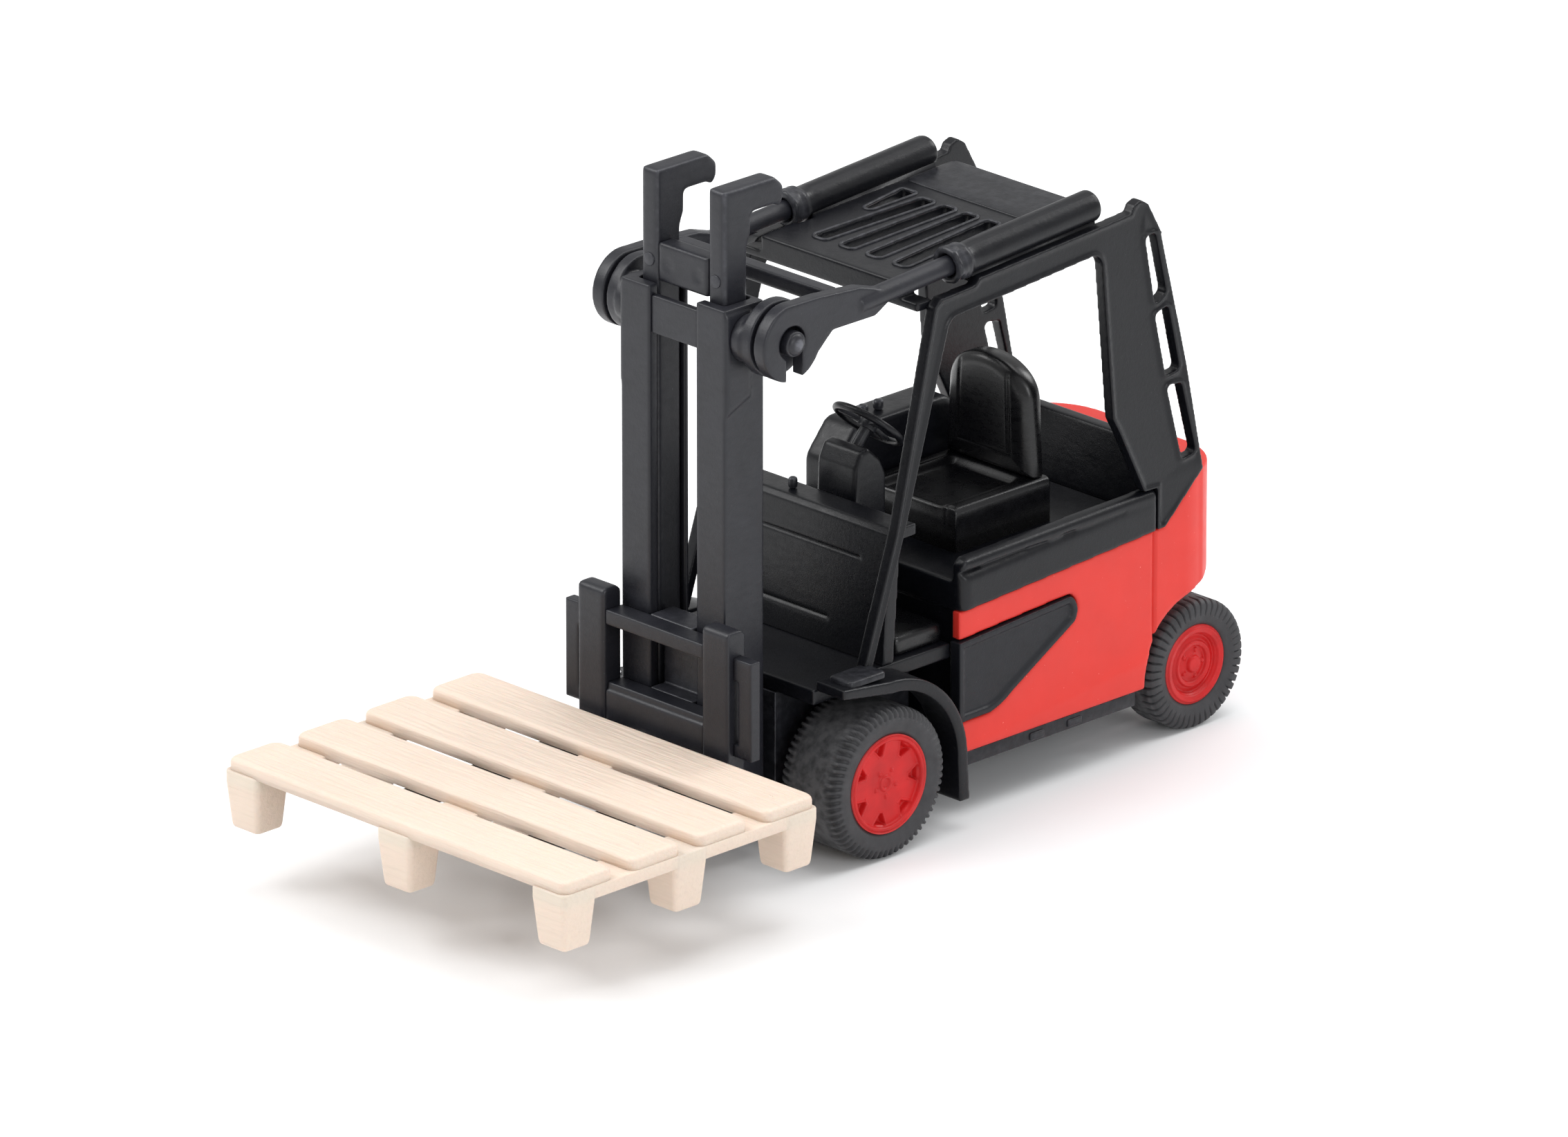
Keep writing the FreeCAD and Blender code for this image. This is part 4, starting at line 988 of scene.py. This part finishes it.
def make_slat(bm, y_middle, half_x, half_y, low_z, top_z, seed):
    """A slat with rounded top edges and moulded wood grain, in rings that close on its middle line."""
    corner, rings, steps, spacing, edge_radius, edge_drop = 0.75, 34, 12, 0.3, 0.4, 0.045
    grain_depth, lengthwise, crosswise, apart = 0.075, 0.3, 3.6, 7.3
    dense = divided(rounded_rectangle(half_x, half_y, corner, steps), spacing)
    levels = [vertex_ring(bm, [(x, y + y_middle, low_z) for x, y in dense])]
    for index in range(rings + 1):
        inward = half_y * (index / rings) ** 1.2
        places = []
        for x, y in dense:
            px = math.copysign(max(abs(x) - inward, 0.0), x)
            py = math.copysign(max(abs(y) - inward, 0.0), y)
            place = Vector((px * lengthwise, (py + y_middle) * crosswise, seed * apart))
            grain = noise.noise(place) * 0.6 + noise.noise(place * 2.0) * 0.4
            relief = grain_depth * grain * smooth_step(0.15, 0.5, inward)
            z = top_z - edge_drop - soft_edge(inward, edge_radius) + relief
            places.append((px, py + y_middle, z))
        levels.append(vertex_ring(bm, places))
    bridge(bm, levels)
    bm.faces.new(list(reversed(levels[0])))
    bmesh.ops.remove_doubles(bm, verts=levels[-1], dist=0.002 * MM)


def stacked(bm, centre, layers):
    """A closed solid through layers of (z, inset, corner) about a centre of (x, y, half_x, half_y)."""
    middle_x, middle_y, half_x, half_y = centre
    loft(bm, [vertex_ring(bm, [(middle_x + x, middle_y + y, z)
                               for x, y in rounded_rectangle(half_x - inset, half_y - inset, corner)])
              for z, inset, corner in layers])


def make_pallet():
    """Grained slats over boards, on nine tapered feet that run up through the boards."""
    bottom, top = low("pallet"), high("pallet")
    slats, half_slat = 4, SLAT_WIDTH / 2
    half_depth, middle_y = (top.y - bottom.y) / 2, middle("pallet").y
    pitch = (top.y - bottom.y - SLAT_WIDTH) / (slats - 1)
    board = [(BOARD_LOW, 0.12, 0.5), (BOARD_LOW + 0.1, 0.04, 0.5), (BOARD_HIGH - 0.12, 0.04, 0.5),
             (BOARD_HIGH - 0.03, 0.07, 0.5), (BOARD_HIGH, 0.16, 0.5)]
    foot = [(bottom.z, 0.62, 0.2), (bottom.z + 0.05, 0.46, 0.32), (bottom.z + 0.16, 0.36, 0.42),
            (bottom.z + 0.4, 0.3, 0.45), (BOARD_LOW + 0.1, 0.0, 0.5), (BOARD_HIGH - 0.14, 0.0, 0.5),
            (BOARD_HIGH - 0.04, 0.03, 0.5), (BOARD_HIGH - 0.01, 0.1, 0.5)]
    bm = bmesh.new()
    for index in range(slats):
        make_slat(bm, bottom.y + half_slat + pitch * index, top.x - 0.15, half_slat - 0.15,
                  BOARD_HIGH - 0.1, top.z, index)
    for column in (-1, 0, 1):
        x = (top.x - FOOT_LENGTH / 2) * column
        stacked(bm, (x, middle_y, FOOT_LENGTH / 2, half_depth), board)
        for row in (-1, 0, 1):
            y = middle_y + (half_depth - FOOT_DEPTH / 2) * row
            stacked(bm, (x, y, FOOT_LENGTH / 2, FOOT_DEPTH / 2), foot)
    mesh = mesh_from(bm, "pallet_moulding")
    mark_edges(mesh, lambda p: 0.0)
    add_piece("pallet_moulding", mesh, "pallet")


make_pallet()


# ---------------------------------------------------------------- floor, light and camera

def make_stage():
    """A wide pale floor."""
    bm = bmesh.new()
    bmesh.ops.create_grid(bm, x_segments=1, y_segments=1, size=3.0)
    floor = bpy.data.objects.new("floor", mesh_from(bm, "floor"))
    bpy.context.scene.collection.objects.link(floor)
    s = Shader("pale_floor")
    tone = s.mix(s.spread(s.noise(2.0, 2), 0.3, 0.7, 0, 1), (0.86, 0.87, 0.88), (0.9, 0.9, 0.9))
    s.link(tone, s.surface.inputs["Base Color"])
    s.set(Roughness=0.7)
    floor.data.materials.append(s.material)


def make_light(name, place, size, power, colour=(1.0, 1.0, 1.0)):
    """A square soft box, in metres and watts, aimed at the toy."""
    light = bpy.data.lights.new(name, "AREA")
    light.shape = "SQUARE"
    light.size = size
    light.energy = power
    light.color = colour
    lamp = bpy.data.objects.new(name, light)
    bpy.context.scene.collection.objects.link(lamp)
    lamp.location = place
    aim = Vector((0, 0, 0.02)) - Vector(place)
    lamp.rotation_euler = aim.to_track_quat("-Z", "Y").to_euler()


def make_world(strength):
    world = bpy.data.worlds.new("studio")
    world.use_nodes = True
    world.node_tree.nodes["Background"].inputs["Color"].default_value = (1.0, 1.0, 1.0, 1.0)
    world.node_tree.nodes["Background"].inputs["Strength"].default_value = strength
    bpy.context.scene.world = world


def make_camera(azimuth, elevation, distance, lens, aside, height):
    """A long lens from the front left, aimed beside and above the front axle's middle."""
    turn, rise = math.radians(azimuth), math.radians(elevation)
    towards = Vector((math.cos(rise) * math.sin(turn), -math.cos(rise) * math.cos(turn), math.sin(rise)))
    target = Vector((math.cos(turn) * aside, math.sin(turn) * aside + AXLE_Y, height)) * MM
    camera = bpy.data.objects.new("camera", bpy.data.cameras.new("camera"))
    bpy.context.scene.collection.objects.link(camera)
    camera.data.lens = lens
    camera.data.sensor_width = 36.0
    camera.location = target + towards * distance * MM
    camera.rotation_euler = towards.to_track_quat("Z", "Y").to_euler()
    bpy.context.scene.camera = camera


make_stage()
make_world(strength=0.62)
make_light("key", (-0.26, -0.30, 0.42), size=0.36, power=2.1)
make_light("top", (0.02, 0.10, 0.55), size=0.40, power=1.5)
make_light("fill", (0.55, -0.10, 0.22), size=0.26, power=0.9, colour=(0.97, 0.98, 1.0))
make_light("back", (0.12, 0.50, 0.36), size=0.24, power=1.1)
bpy.context.scene.view_settings.view_transform = "Standard"
make_camera(azimuth=45.58, elevation=20.6, distance=1402.7, lens=432.3, aside=0.73, height=19.75)
